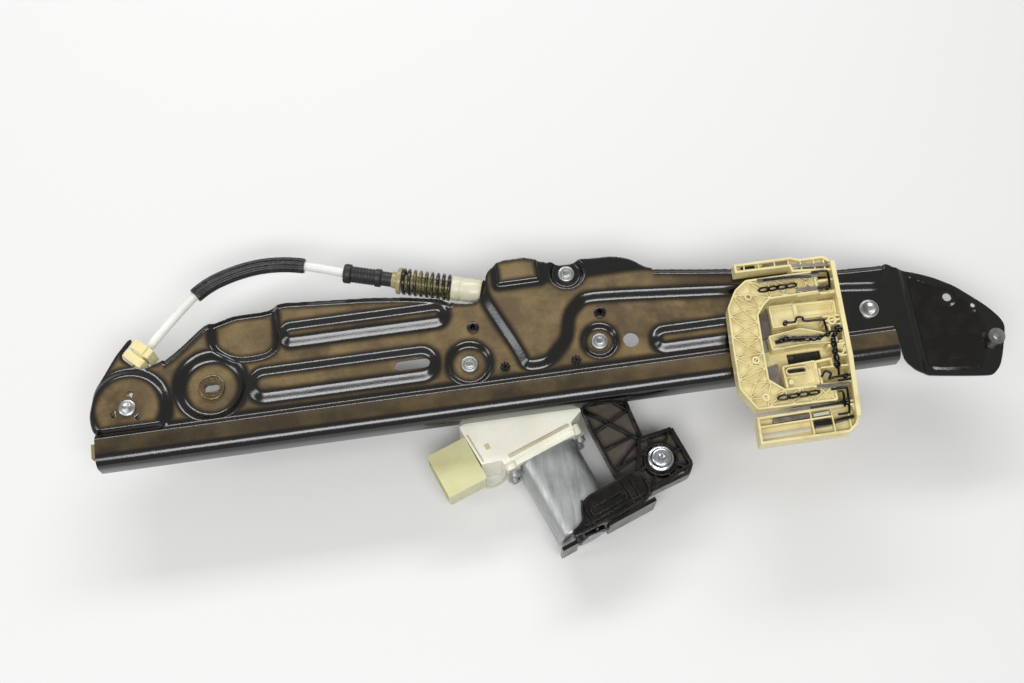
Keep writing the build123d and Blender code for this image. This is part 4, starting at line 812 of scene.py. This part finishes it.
def build_bracket():
    low, top = BRACKET_LOW, BRACKET_TOP
    build("bracket_floor", [prism_data(ARM, low, low + 3.0)], "dusty_plastic",
          "carrier", 0.4)
    parts = fence_data(ARM, 2.2, low, top)
    parts += [strip_data(p, q, 1.5, low, top - 1.5) for p, q in ARM_RIBS]
    parts += fence_data(BLOCK, 2.6, low - 3, top + 1.0)
    for turn in range(20, 380, 45):
        inner = ray_to_outline(BOLT, turn, circle_points(*BOLT, 10, 24))
        parts.append(strip_data(inner, ray_to_outline(BOLT, turn, BLOCK), 1.7, low, top + 0.2))
    collar = [(10.4, low), (10.4, top - 0.6), (10.8, top), (12.0, top), (12.4, top - 0.6),
              (12.4, low)]
    parts.append(moved(lathe_data(collar, 56), place(*BOLT, 0)))
    clip = [(44.5, 46), (44.5, 9), (47, 2), (53, -1), (58, -3), (60.5, -9), (61.0, -13),
            (63.5, -13), (64.5, -8), (65.5, 20), (65, 46), (58, 50), (48, 50)]
    outline = [tuple(p) for p in rounded_outline(clip, 3, 3)]
    arm = [prism_data(outline, 17.3, 18.6)]
    arm += fence_data(outline, 1.6, 17.3, 22.6)
    ring = [(55.5 + 2.9 * math.cos(k), 19 + (11 if math.sin(k) >= 0 else -11)
             + 2.9 * math.sin(k)) for k in np.linspace(0, 2 * math.pi, 24, endpoint=False)]
    arm += fence_data(ring, 1.2, 17.3, 22.2)
    arm += [strip_data((44.5, n), (67.5, n), 1.4, 17.3, 21.6) for n in (3, 35, 41)]
    arm += [strip_data(*row) for row in CLAW_WALLS]
    parts += [moved(part, MOTOR) for part in arm]
    half = [(9.7, CAN_LENGTH + 1.2), (11.6, CAN_LENGTH + 1.2), (11.6, CAN_LENGTH + 5.6),
            (9.7, CAN_LENGTH + 5.6), (9.7, CAN_LENGTH + 1.2)]
    parts.append(moved(lathe_data(half, 40), MOTOR_AXIS))
    ribs = build("bracket_ribs", parts, "black_plastic", "carrier", 0.3)
    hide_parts("motor_bracket")


def build_motor_details():
    """End dome of the can, the inspection square, the housing's seam and the moulded loop."""
    end = CAN_LENGTH
    dome = [(0.01, end + 6.3), (3.0, end + 6.25), (6.0, end + 5.7), (8.0, end + 4.6),
            (8.9, end + 3.2), (9.1, end + 2.0), (9.1, end - 0.3)]
    parts = [moved(lathe_data(dome, 48), MOTOR_AXIS)]
    build("can_end_dome", parts, "zinc_steel", "carrier", 0, 50)
    square = [(-23.6, -37.6), (-19.4, -37.6), (-19.4, -34.4), (-23.6, -34.4)]
    mark = [moved(prism_data(square, 19.3, 20.0), MOTOR)]
    build("inspection_mark", mark, "green_plastic", "carrier", 0.2)
    seam = [(-7.6, -26.0), (-7.6, 22.0)]
    ledge = [moved(strip_data(*seam, 2.2, 19.2, 21.4), MOTOR)]
    ledge += [moved(strip_data((-36.0, -44.5), (-13, -43.6), 1.2, 19.2, 20.2), MOTOR)]
    build("housing_seam", ledge, "seam_plastic", "carrier", 0.4)
    loop = smooth_path([(-118.5, -72.5, -48), (-120.5, -77.0, -48), (-113, -80.5, -48),
                        (-104.5, -78.0, -48), (-99.5, -72.8, -48)], 8)
    build("moulded_loop", [rod_data(loop, 0.9)], "seam_plastic", "carrier", 0, 60)


def build_bolt():
    """Flange bolt with a rounded six-lobe head and a smooth turned flange."""
    x, y = BOLT
    z = BRACKET_TOP + 0.6
    flange = [(3.1, z), (9.0, z), (9.25, z + 0.5), (9.1, z + 1.2), (8.2, z + 1.7),
              (7.6, z + 1.9), (7.2, z + 3.4), (6.6, z + 4.3), (5.2, z + 4.8), (2.6, z + 4.8)]
    parts = [lathe_data(flange, 64)]
    lobes = []
    for k in range(48):
        turn = 2 * math.pi * k / 48
        r = 2.55 + 0.45 * math.cos(6 * turn)
        lobes.append((r * math.cos(turn), r * math.sin(turn)))
    count = len(lobes)
    verts = [(px, py, z + 4.8) for px, py in lobes] + [(px, py, z + 2.2) for px, py in lobes]
    walls = [[i, count + i, count + (i + 1) % count, (i + 1) % count] for i in range(count)]
    parts.append((verts, walls + [list(range(count, 2 * count))]))
    parts.append(lathe_data([(0.01, BOLT_TIP), (3.0, BOLT_TIP), (3.0, z)], 32))
    parts = [moved(part, place(x, y, 0)) for part in parts]
    bolt = build("flange_bolt", parts, "bright_steel", "carrier", 0, 40)
    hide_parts("bracket_bolt")


build_bracket()
build_motor_details()
build_bolt()


# ---------------------------------------------------------------- glass slider
FRAME_LOW = 7.0
FRAME_TOP = 19.0
FRAME_OUTER = [(134, 25.5), (85, 25.2), (76.5, 19), (69.3, 7), (67, -24), (65.8, -53),
               (75, -68.8), (130, -69.8)]
FRAME_INNER = [(134, 10.5), (99, 10.0), (94, 6), (88.2, -1), (86.8, -25), (86, -49.5),
               (96, -58), (130, -58.5)]
LATTICE_BAYS = 26
CLAMP_PLUGS = ((84.5, 13), (80.5, -34), (82.0, -61.5))


def stations(points, count):
    """Points at even distances along a chain of runs."""
    points = [np.array(p, float) for p in points]
    runs = [np.linalg.norm(b - a) for a, b in zip(points, points[1:])]
    ends = np.concatenate([[0], np.cumsum(runs)])
    result = []
    for distance in np.linspace(0, ends[-1], count + 1):
        i = min(int(np.searchsorted(ends, distance, "right")) - 1, len(runs) - 1)
        share = (distance - ends[i]) / runs[i]
        result.append(tuple(points[i] + (points[i + 1] - points[i]) * share))
    return result


def between(p, q, share):
    return (p[0] + (q[0] - p[0]) * share, p[1] + (q[1] - p[1]) * share)


def ring_data(x, y, z0, z1, inner, outer, sides=28):
    wall = [(outer, z0), (outer, z1 - 0.3), (outer - 0.3, z1), (inner + 0.2, z1),
            (inner, z1 - 0.3), (inner, z0)]
    return moved(lathe_data(wall, sides), place(x, y, 0))


def disc_data(x, y, z0, z1, r, sides=28):
    crown = [(r, z0), (r, z1 - 0.35), (r - 0.35, z1), (0.01, z1 + 0.1)]
    return moved(lathe_data(crown, sides), place(x, y, 0))


def stadium_loop(x0, x1, y0, y1, steps=9):
    """Chain of points round a stadium that is long along X."""
    r = (y1 - y0) / 2
    right = [(x1 - r + r * math.cos(t), (y0 + y1) / 2 + r * math.sin(t))
             for t in np.linspace(-math.pi / 2, math.pi / 2, steps)]
    left = [(x0 + r + r * math.cos(t), (y0 + y1) / 2 + r * math.sin(t))
            for t in np.linspace(math.pi / 2, 3 * math.pi / 2, steps)]
    return right + left


def build_clamp_frame():
    """C-shaped clamp with two rows of crossing ribs on a shallow floor."""
    outline = FRAME_OUTER + FRAME_INNER[::-1]
    parts = [prism_data(outline, FRAME_LOW, FRAME_TOP - 2.4)]
    parts += fence_data(outline, 1.4, FRAME_LOW, FRAME_TOP + 0.3)
    outer = stations(FRAME_OUTER, LATTICE_BAYS)
    inner = stations(FRAME_INNER, LATTICE_BAYS)
    middle = [between(p, q, 0.5) for p, q in zip(outer, inner)]
    for bay in range(LATTICE_BAYS):
        for near, far in ((outer, middle), (middle, inner)):
            flip = (bay % 2 == 0) == (near is outer)
            ends = (near[bay], far[bay + 1]) if flip else (near[bay + 1], far[bay])
            parts.append(strip_data(*ends, 0.8, FRAME_TOP - 2.6, FRAME_TOP))
        if bay % 2 == 0:
            parts.append(strip_data(outer[bay], inner[bay], 0.8, FRAME_TOP - 2.6, FRAME_TOP))
    for x, y in CLAMP_PLUGS:
        parts.append(ring_data(x, y, FRAME_TOP - 3.2, FRAME_TOP + 0.5, 1.3, 2.9))
    frame_piece = build("clamp_lattice", parts, "pom_cream", "slider", 0.3)
    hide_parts("clamp_frame")
    plugs = [disc_data(x, y, FRAME_TOP - 3.2, FRAME_TOP - 0.3, 1.3)
             for x, y in CLAMP_PLUGS]
    build("clamp_plugs", plugs, "dark_steel", "slider", 0, 50)


def build_carrier_details():
    """Pockets, cross walls and raised blocks moulded on the slide."""
    low = FRAME_LOW - 0.5
    parts = []
    trays = [([(98.5, 5), (115.5, 5), (115.5, -10), (98.5, -10.5)], 12.5, 15.0),
             ([(117.5, 3.4), (143.6, 2.4), (143.2, -6.2), (117.5, -5.6)], 11.5, 13.2),
             ([(123, 24), (136, 24), (136, 13.4), (123, 13.0)], 13.0, 16.0),
             ([(98.5, -40.5), (121, -39.5), (121, -56), (98.5, -57)], 13.5, 16.5)]
    for outline, floor, rim in trays:
        parts.append(prism_data(outline, low, floor))
        parts += fence_data(outline, 1.3, low, rim)
    walls = [((119, 9.3), (147, 9.8)), ((133, 17.5), (147.5, 18)), ((133, -8.6), (146, -9)),
             ((133.5, -15.0), (146, -15.4)), ((140.5, -28), (145, -28)),
             ((133, -31.0), (144.8, -31.4)), ((134.5, -38), (144.4, -38.6)),
             ((124, -45.5), (144, -46)), ((122, -57.5), (143.4, -58)),
             ((128, -71.2), (142.6, -72)), ((120, 31.0), (149, 30.2)),
             ((147.2, 10), (143.6, -36)), ((136.5, -15), (135.5, -31)),
             ((122.5, -46), (122.5, -57))]
    for p, q in walls:
        parts.append(strip_data(p, q, 1.3, low, FRAME_TOP - 0.6))
    parts.append(ring_data(139, -12.3, low, FRAME_TOP + 0.6, 1.9, 3.4))
    parts.append(ring_data(140.2, -34.6, low, FRAME_TOP - 1, 2.0, 3.3))
    parts += fence_data(stadium_loop(99.8, 114.2, -47.2, -42.8), 1.0, low, 18.2)
    parts.append(disc_data(102, -52.5, low, 17.6, 1.9))
    arm = [(93.5, -17.8), (116, -15), (121, -16.5), (133, -21), (139.5, -21.8),
           (139.5, -28.0), (120, -26.6), (94, -27.6)]
    parts.append(prism_data(arm, 8.5, 15.0))
    parts += fence_data(arm, 1.2, 8.5, 17.8)
    upper = [(79.8, 38.2), (119.5, 38.2), (125.5, 35.9), (142.5, 35.9), (148.8, 30.8),
             (148.6, 25.2), (119.6, 28.2), (118.4, 32.8), (79.8, 32.9)]
    parts.append(prism_data(upper, 8.5, 14.5))
    parts += [strip_data((x, 33), (x + 0.3, 38), 1.0, 14, 18.2) for x in (86, 96.5, 108, 118)]
    parts += [strip_data((x, y0), (x, y1), 1.0, 14, 18.4)
              for x, y0, y1 in ((126.5, 28, 35.6), (136, 27, 35.6), (143, 26, 34))]
    lower = [(74, -75.4), (139.6, -74.6), (141.6, -84), (139.2, -88.4), (133.4, -92.6),
             (73, -92.6)]
    parts.append(prism_data(lower, 6.5, 12.5))
    parts += [strip_data((x, -92.4), (x, -75.2), 1.0, 12, 16.6) for x in (110, 124.5, 136)]
    parts.append(strip_data((74, -81.4), (124, -80.6), 1.2, 12, 17.6))
    build("slide_pockets", parts, "pom_cream", "slider", 0.3)
    strips = [strip_data((84, -78.4), (109, -77.8), 3.2, 12, 17.2),
              strip_data((93, 24.0), (137, 22.6), 3.0, FRAME_TOP, FRAME_TOP + 0.8),
              strip_data((93.5, -73.0), (137, -72.0), 2.6, 17.6, 18.5),
              strip_data((100, 35.6), (118, 35.4), 2.2, 14.5, 17.0),
              strip_data((120, 31.8), (146, 29.6), 2.4, 16.0, 18.8),
              strip_data((118, -58.9), (141, -60.0), 3.0, FRAME_TOP - 1, FRAME_TOP + 0.6),
              strip_data((119, 13.2), (138, 12.6), 3.2, FRAME_TOP - 1, FRAME_TOP + 0.6)]
    build("leaf_springs", strips, "dark_steel", "slider", 0.25)
    bright = [strip_data((73.5, -87.2), (109, -86.6), 3.4, 12.4, 13.4),
              strip_data((112, -78.0), (123, -77.6), 2.2, 12.5, 17.4)]
    build("glide_strips", bright, "pom_natural", "slider", 0.3)
    blocks = [strip_data((111.5, -84.6), (123, -84.2), 4.2, 12.4, 17.8),
              strip_data((126, -84), (139, -82.6), 2.2, 12.4, 17.6),
              strip_data((84, 35.6), (94, 35.6), 1.8, 14.5, 17.4),
              strip_data((97, -22.2), (118, -21.2), 2.6, 15, 16.8),
              strip_data((101.5, -45), (112.5, -45), 2.0, 16, 17.4)]
    build("catch_inserts", blocks, "black_plastic", "slider", 0.3)


def chain_links(p, q, count, z):
    """Row of flat oval links, every second one turned on its side."""
    parts = []
    p, q = np.array(p, float), np.array(q, float)
    step = (q - p) / count
    turn = math.degrees(math.atan2(step[1], step[0]))
    length = np.linalg.norm(step)
    for i in range(count):
        x, y = p + step * (i + 0.5)
        half, wide = length * 0.60, 1.55
        loop = [(half * math.cos(t), wide * math.sin(t), 0)
                for t in np.linspace(0, 2 * math.pi, 22)]
        tilt = Matrix.Rotation(math.radians(0 if i % 2 == 0 else 50), 4, "X")
        parts.append(moved(rod_data(loop, 0.7, 8), place(x, y, z, turn) @ tilt))
    return parts


def build_wires():
    """Bent wire springs of the clamp with their loops and knobs."""
    z = FRAME_TOP + 1.4
    routes = [
        [(106, -10.2, z), (112.5, -10.4, z), (114.5, -7.6, z), (118.5, -8, z),
         (119.5, -10.8, z), (131.5, -11.5, z), (133, -13, z), (133.6, -23, z)],
        [(104, -21.5, z - 1), (112, -22, z - 1), (128, -24, z), (134, -21.6, z),
         (142.8, -20.2, z)],
        [(136.2, -24, z), (136.6, -31, z), (134.8, -40, z), (135.4, -47, z), (134.6, -53, z)],
        [(122.5, -52.5, z - 1), (126, -48.8, z - 1), (129.5, -51, z - 1), (127.5, -54.6, z - 1),
         (131.5, -54.2, z), (142.6, -54.0, z), (143, -56.6, z), (133, -57.0, z)],
        [(132, 24.6, z), (141.5, 24.4, z), (143.4, 22.6, z), (142.8, 13.6, z),
         (141.2, 12.0, z), (134, 12.4, z)],
        [(127, -62.6, z), (136.0, -62.8, z), (137.8, -64.6, z), (136.4, -78.4, z - 1),
         (134.4, -80.4, z - 1), (128, -80.6, z - 1)],
        [(131.5, -64.8, z + 0.6), (134.4, -66, z + 0.6), (133.6, -76, z)],
        [(110, -73.4, z - 0.4), (131, -72.4, z - 0.4), (134.6, -70, z)],
        [(97, 23.6, z + 0.2), (118, 23.4, z + 0.2), (131, 21.4, z + 0.2)],
        [(146.6, -42.5, z - 3), (146.0, -50, z - 2.6), (143.4, -55.4, z - 2)],
    ]
    parts = [rod_data(smooth_path(route, 6), 0.85, 10) for route in routes]
    knobs = [(104, -21.5), (100.4, -22.3), (127.6, -23.9), (133.6, -22.4), (142.6, -20.2),
             (136.4, -27), (135.8, -35), (134.6, -45), (139, -54), (106, -10.2), (141.2, 12),
             (136.2, -73), (141, -18.4), (138.6, -23.2)]
    parts += [disc_data(x, y, FRAME_TOP - 1, FRAME_TOP + 2.6, 1.7, 18) for x, y in knobs]
    parts += chain_links((93, 16.3), (119, 16.8), 4, FRAME_TOP + 1.3)
    parts += chain_links((90, -63.8), (118, -63.2), 4, FRAME_TOP + 1.3)
    parts += chain_links((108, -22.2), (126, -24.0), 4, FRAME_TOP - 0.4)
    parts += chain_links((136.3, -28), (135.2, -48), 4, FRAME_TOP + 1.4)
    wires = build("clamp_wirework", parts, "oiled_steel", "slider", 0, 60)
    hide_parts("clamp_wires")


build_clamp_frame()
build_carrier_details()
build_wires()


# ---------------------------------------------------------------- conduit and slack spring
CABLE_Z = -9.0
CONDUIT_ROUTE = [(-341.8, 45.8), (-322.0, 66.6), (-301.0, 86.3), (-278.0, 95.0),
                 (-252.0, 98.6), (-223.0, 93.9), (-194.8, 83.2)]
TENSIONER = lying(-196.5, 83.6, CABLE_Z, -16.6)
CONDUIT_R = 3.3
SLEEVE_R = 5.3
BOOT_END = 35.0
RING_END = 42.0
SPRING_END = 79.0
FERRULE_END = 100.5


def build_conduit():
    """White conduit on one smooth curve, and its ridged rubber sleeve."""
    curve = bpy.data.curves.new("conduit_line", "CURVE")
    curve.dimensions = "3D"
    spline = curve.splines.new("NURBS")
    spline.points.add(len(CONDUIT_ROUTE) - 1)
    for point, (x, y) in zip(spline.points, CONDUIT_ROUTE):
        point.co = (x * MM, y * MM, CABLE_Z * MM, 1)
    spline.order_u = 3
    spline.use_endpoint_u = True
    spline.resolution_u = 16
    conduit = bpy.data.objects.new("conduit_line", curve)
    bpy.context.scene.collection.objects.link(conduit)
    line = bpy.data.meshes.new_from_object(conduit)
    points = [np.array(v.co) / MM for v in line.vertices]
    bpy.data.meshes.remove(line)
    curve.bevel_depth = CONDUIT_R * MM
    curve.bevel_resolution = 6
    curve.use_fill_caps = True
    curve.materials.append(FINISH["conduit_white"])
    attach(conduit, "carrier")
    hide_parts("bowden_conduit")
    runs = np.concatenate([[0], np.cumsum(np.linalg.norm(np.diff(points, axis=0), axis=1))])
    inside = [p for p, run in zip(points, runs) if 50 < run < 136]
    sides = 60
    path, rows = frames_along(inside)
    verts = []
    for i, (point, (a, b)) in enumerate(zip(path, rows)):
        end = min(i, len(path) - 1 - i)
        swell = SLEEVE_R - (0.4 if end == 0 else 0.0)
        for k in range(sides):
            turn = 2 * math.pi * k / sides
            r = swell + 0.42 * math.cos(9 * turn)
            verts.append(tuple(point + r * (math.cos(turn) * a + math.sin(turn) * b)))
    sleeve = build("ridged_sleeve", [(verts, tube_faces(len(path), sides))], "sleeve_rubber", "carrier",
                   0, 60)
    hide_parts("conduit_sleeve")


def build_tensioner():
    boot = [(3.4, -0.5), (6.6, -0.5), (7.1, 0.4), (7.1, 4.4), (6.4, 5.0), (5.6, 5.2), (5.6, 6.0)]
    station = 6.0
    while station < 21:
        boot += [(6.0, station + 0.3), (6.0, station + 1.5), (5.6, station + 1.9),
                 (5.6, station + 2.3)]
        station += 2.3
    boot += [(5.7, 22.3), (6.6, 22.8), (6.6, 26.6), (6.0, 27.2), (5.3, 27.4),
             (5.3, BOOT_END), (2.0, BOOT_END)]
    piece = build("ringed_boot", [moved(lathe_data(boot, 56), TENSIONER)], "black_rubber",
                  "carrier", 0, 50)
    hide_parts("tension_boot")
    ring = [(1.5, BOOT_END), (5.9, BOOT_END), (6.1, BOOT_END + 0.5), (6.1, BOOT_END + 3.4),
            (9.4, BOOT_END + 4.0), (9.8, BOOT_END + 4.5), (9.8, RING_END - 0.4),
            (9.4, RING_END), (5.3, RING_END), (5.3, SPRING_END), (1.5, SPRING_END)]
    piece = build("spring_seat", [moved(lathe_data(ring, 64), TENSIONER)], "greased_cream",
                  "carrier", 0, 50)
    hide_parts("tension_ring")
    turns, wire = 9.0, 1.3
    length = SPRING_END - RING_END - 2 * wire - 0.3
    path = []
    for t in np.linspace(0, 1, int(turns * 40)):
        dead = 0.05
        rise = 0 if t < dead else 1 if t > 1 - dead else (t - dead) / (1 - 2 * dead)
        turn = 2 * math.pi * turns * t
        path.append((8.5 * math.cos(turn), 8.5 * math.sin(turn),
                     RING_END + wire + 0.15 + rise * length))
    piece = build("coil_spring", [moved(rod_data(path, wire, 12), TENSIONER)], "greased_spring",
                  "carrier", 0, 60)
    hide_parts("slack_spring")
    ferrule = [(1.9, SPRING_END), (8.3, SPRING_END), (8.7, SPRING_END + 0.6),
               (8.7, SPRING_END + 6.2), (8.2, SPRING_END + 6.8), (8.1, SPRING_END + 8.0),
               (8.6, SPRING_END + 8.6), (8.6, FERRULE_END - 1.6), (7.6, FERRULE_END),
               (5.0, FERRULE_END), (5.0, FERRULE_END + 8), (1.9, FERRULE_END + 8)]
    piece = build("spring_ferrule", [moved(lathe_data(ferrule, 64), TENSIONER)], "ivory",
                  "carrier", 0, 50)
    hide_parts("cable_ferrule")


# ---------------------------------------------------------------- fixings and film on the plate
def ripples(x, y, seed, count=9, scale=0.22):
    """Smooth repeatable waviness from a few crossed waves."""
    chance = random.Random(seed)
    total = np.zeros(np.shape(x))
    for _ in range(count):
        turn = chance.uniform(0, 2 * math.pi)
        pitch = scale * chance.uniform(0.5, 1.9)
        phase = chance.uniform(0, 2 * math.pi)
        bend = 0.5 * np.sin(0.07 * (x * math.sin(turn) - y * math.cos(turn)) + phase)
        total += np.sin(pitch * (x * math.cos(turn) + y * math.sin(turn)) + phase + 2 * bend)
    return total / count


def build_end_film():
    """Crinkled film over the upper end of the plate."""
    film = rounded_outline([(206, 22), (214, 19), (227, 12), (240, 3), (251, -9), (254, -26),
                            (250, -44), (244, -56), (222, -54.5), (206, -51.5)], 5)
    xs, ys = np.meshgrid(np.arange(194, 258, 0.8), np.arange(-60, 30, 0.8))

    def outside(px, py):
        d = polygon_distance(px, py, film)
        for cx, cy, r in ((*STUD, 7.0), (*UPPER_HOLE, 5.2), (*WITNESS_HOLE, 3.4)):
            d = np.maximum(d, -circle_distance(px, py, cx, cy, r))
        return d

    d = outside(xs, ys)
    keep = d < 0.0
    z, _ = plate_height(xs, ys, polygon_distance(xs, ys, rounded_outline(PLATE_OUTLINE, 5)))
    creases = np.abs(ripples(xs, ys, 4, 6, 0.16)) ** 0.75
    rise = ease(-d / 3.0)
    z = z + 0.25 + rise * (0.5 + 1.6 * creases)
    points, faces, _ = kept_points(sheet_faces(keep), xs, ys, z)
    piece = new_piece("crinkled_film", points * MM, faces, FINISH["black_film"], "carrier",
                      180)
    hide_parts("protective_film")


def build_fixings():
    """Rivet heads and rolled pins, each turned; star pins, the slotted collar's rolls and the painted
    highlight strips at the slits.
    """
    zinc = []
    for x, y in HOUSING_RIVETS:
        crown = [(6.4, -3.0), (6.3, -2.2), (5.6, -1.2), (4.6, -0.7), (3.4, -0.75),
                 (2.6, -1.3), (1.2, -1.5), (0.01, -1.5)]
        zinc.append(moved(lathe_data(crown, 40), place(x, y, 0)))
    for centre, head, top in ((LEFT_RIVET, 4.6, 4.0), (RIGHT_RIVET, 5.6, 0.0)):
        ring = [(head + 1.4, top - 0.4), (head + 1.3, top + 1.2), (head, top + 2.0),
                (head - 1.5, top + 1.9), (head - 2.4, top + 0.9), (1.4, top + 0.8),
                (0.01, top + 0.5)]
        zinc.append(moved(lathe_data(ring, 40), place(*centre, 0)))
    build("rivet_crowns", zinc, "worn_zinc", "carrier", 0, 50)
    pins = []
    for x, y in ROLLED_PINS:
        pins.append(ring_data(x, y, -0.2, 1.3, 2.0, 4.3))
    build("rolled_pins", pins, "black_plastic", "carrier", 0, 50)
    stars = []
    for x, y in STAR_PINS:
        for turn in range(0, 180, 45):
            c, s = 3.6 * math.cos(math.radians(turn)), 3.6 * math.sin(math.radians(turn))
            stars.append(strip_data((x - c, y - s), (x + c, y + s), 1.2, 0.6, 2.1))
    build("star_pins", stars, "black_plastic", "carrier", 0.2)
    x, y = BUSH_CENTRE
    collar = fence_data(stadium_loop(x - 8.2, x + 8.2, y - 6.0, y + 6.0), 0.9, -5.2, -3.1)
    collar += fence_data(stadium_loop(x - 6.4, x + 6.4, y - 4.1, y + 4.1), 1.0, -5.2, -2.9)
    collar.append(ring_data(x, y, -5.2, -3.0, 8.2, 9.2, 48))
    build("collar_rolls", collar, "film_steel", "carrier", 0.2)
    # Thin bright steel strips along the inner edge of each slit: painted highlights on the edges of the
    # lanced tabs.
    tabs = []
    for turn in SLIT_TURNS:
        c, s = math.cos(math.radians(turn)), math.sin(math.radians(turn))
        near, far = 8.4, 9.3
        tabs.append(strip_data((-356 + near * c + 2.0 * s, -1.5 + near * s - 2.0 * c),
                               (-356 + far * c - 2.0 * s, -1.5 + far * s + 2.0 * c),
                               0.7, 3.0, 4.5))
    build("slit_edge_highlights", tabs, "bright_steel", "carrier", 0.1)


build_conduit()
build_tensioner()
build_end_film()
build_fixings()

add_stage()
add_world()
add_area("front_box", (-0.12, -0.82, 1.50), (1.4, 0.60), 21.0)
add_area("back_strip", (-0.06, 1.15, 0.90), (1.7, 0.26), 13.5)
add_area("side_box", (-1.35, -0.15, 0.95), (0.3, 0.9), 4.0)
add_camera()

bpy.context.scene.view_settings.view_transform = "Standard"
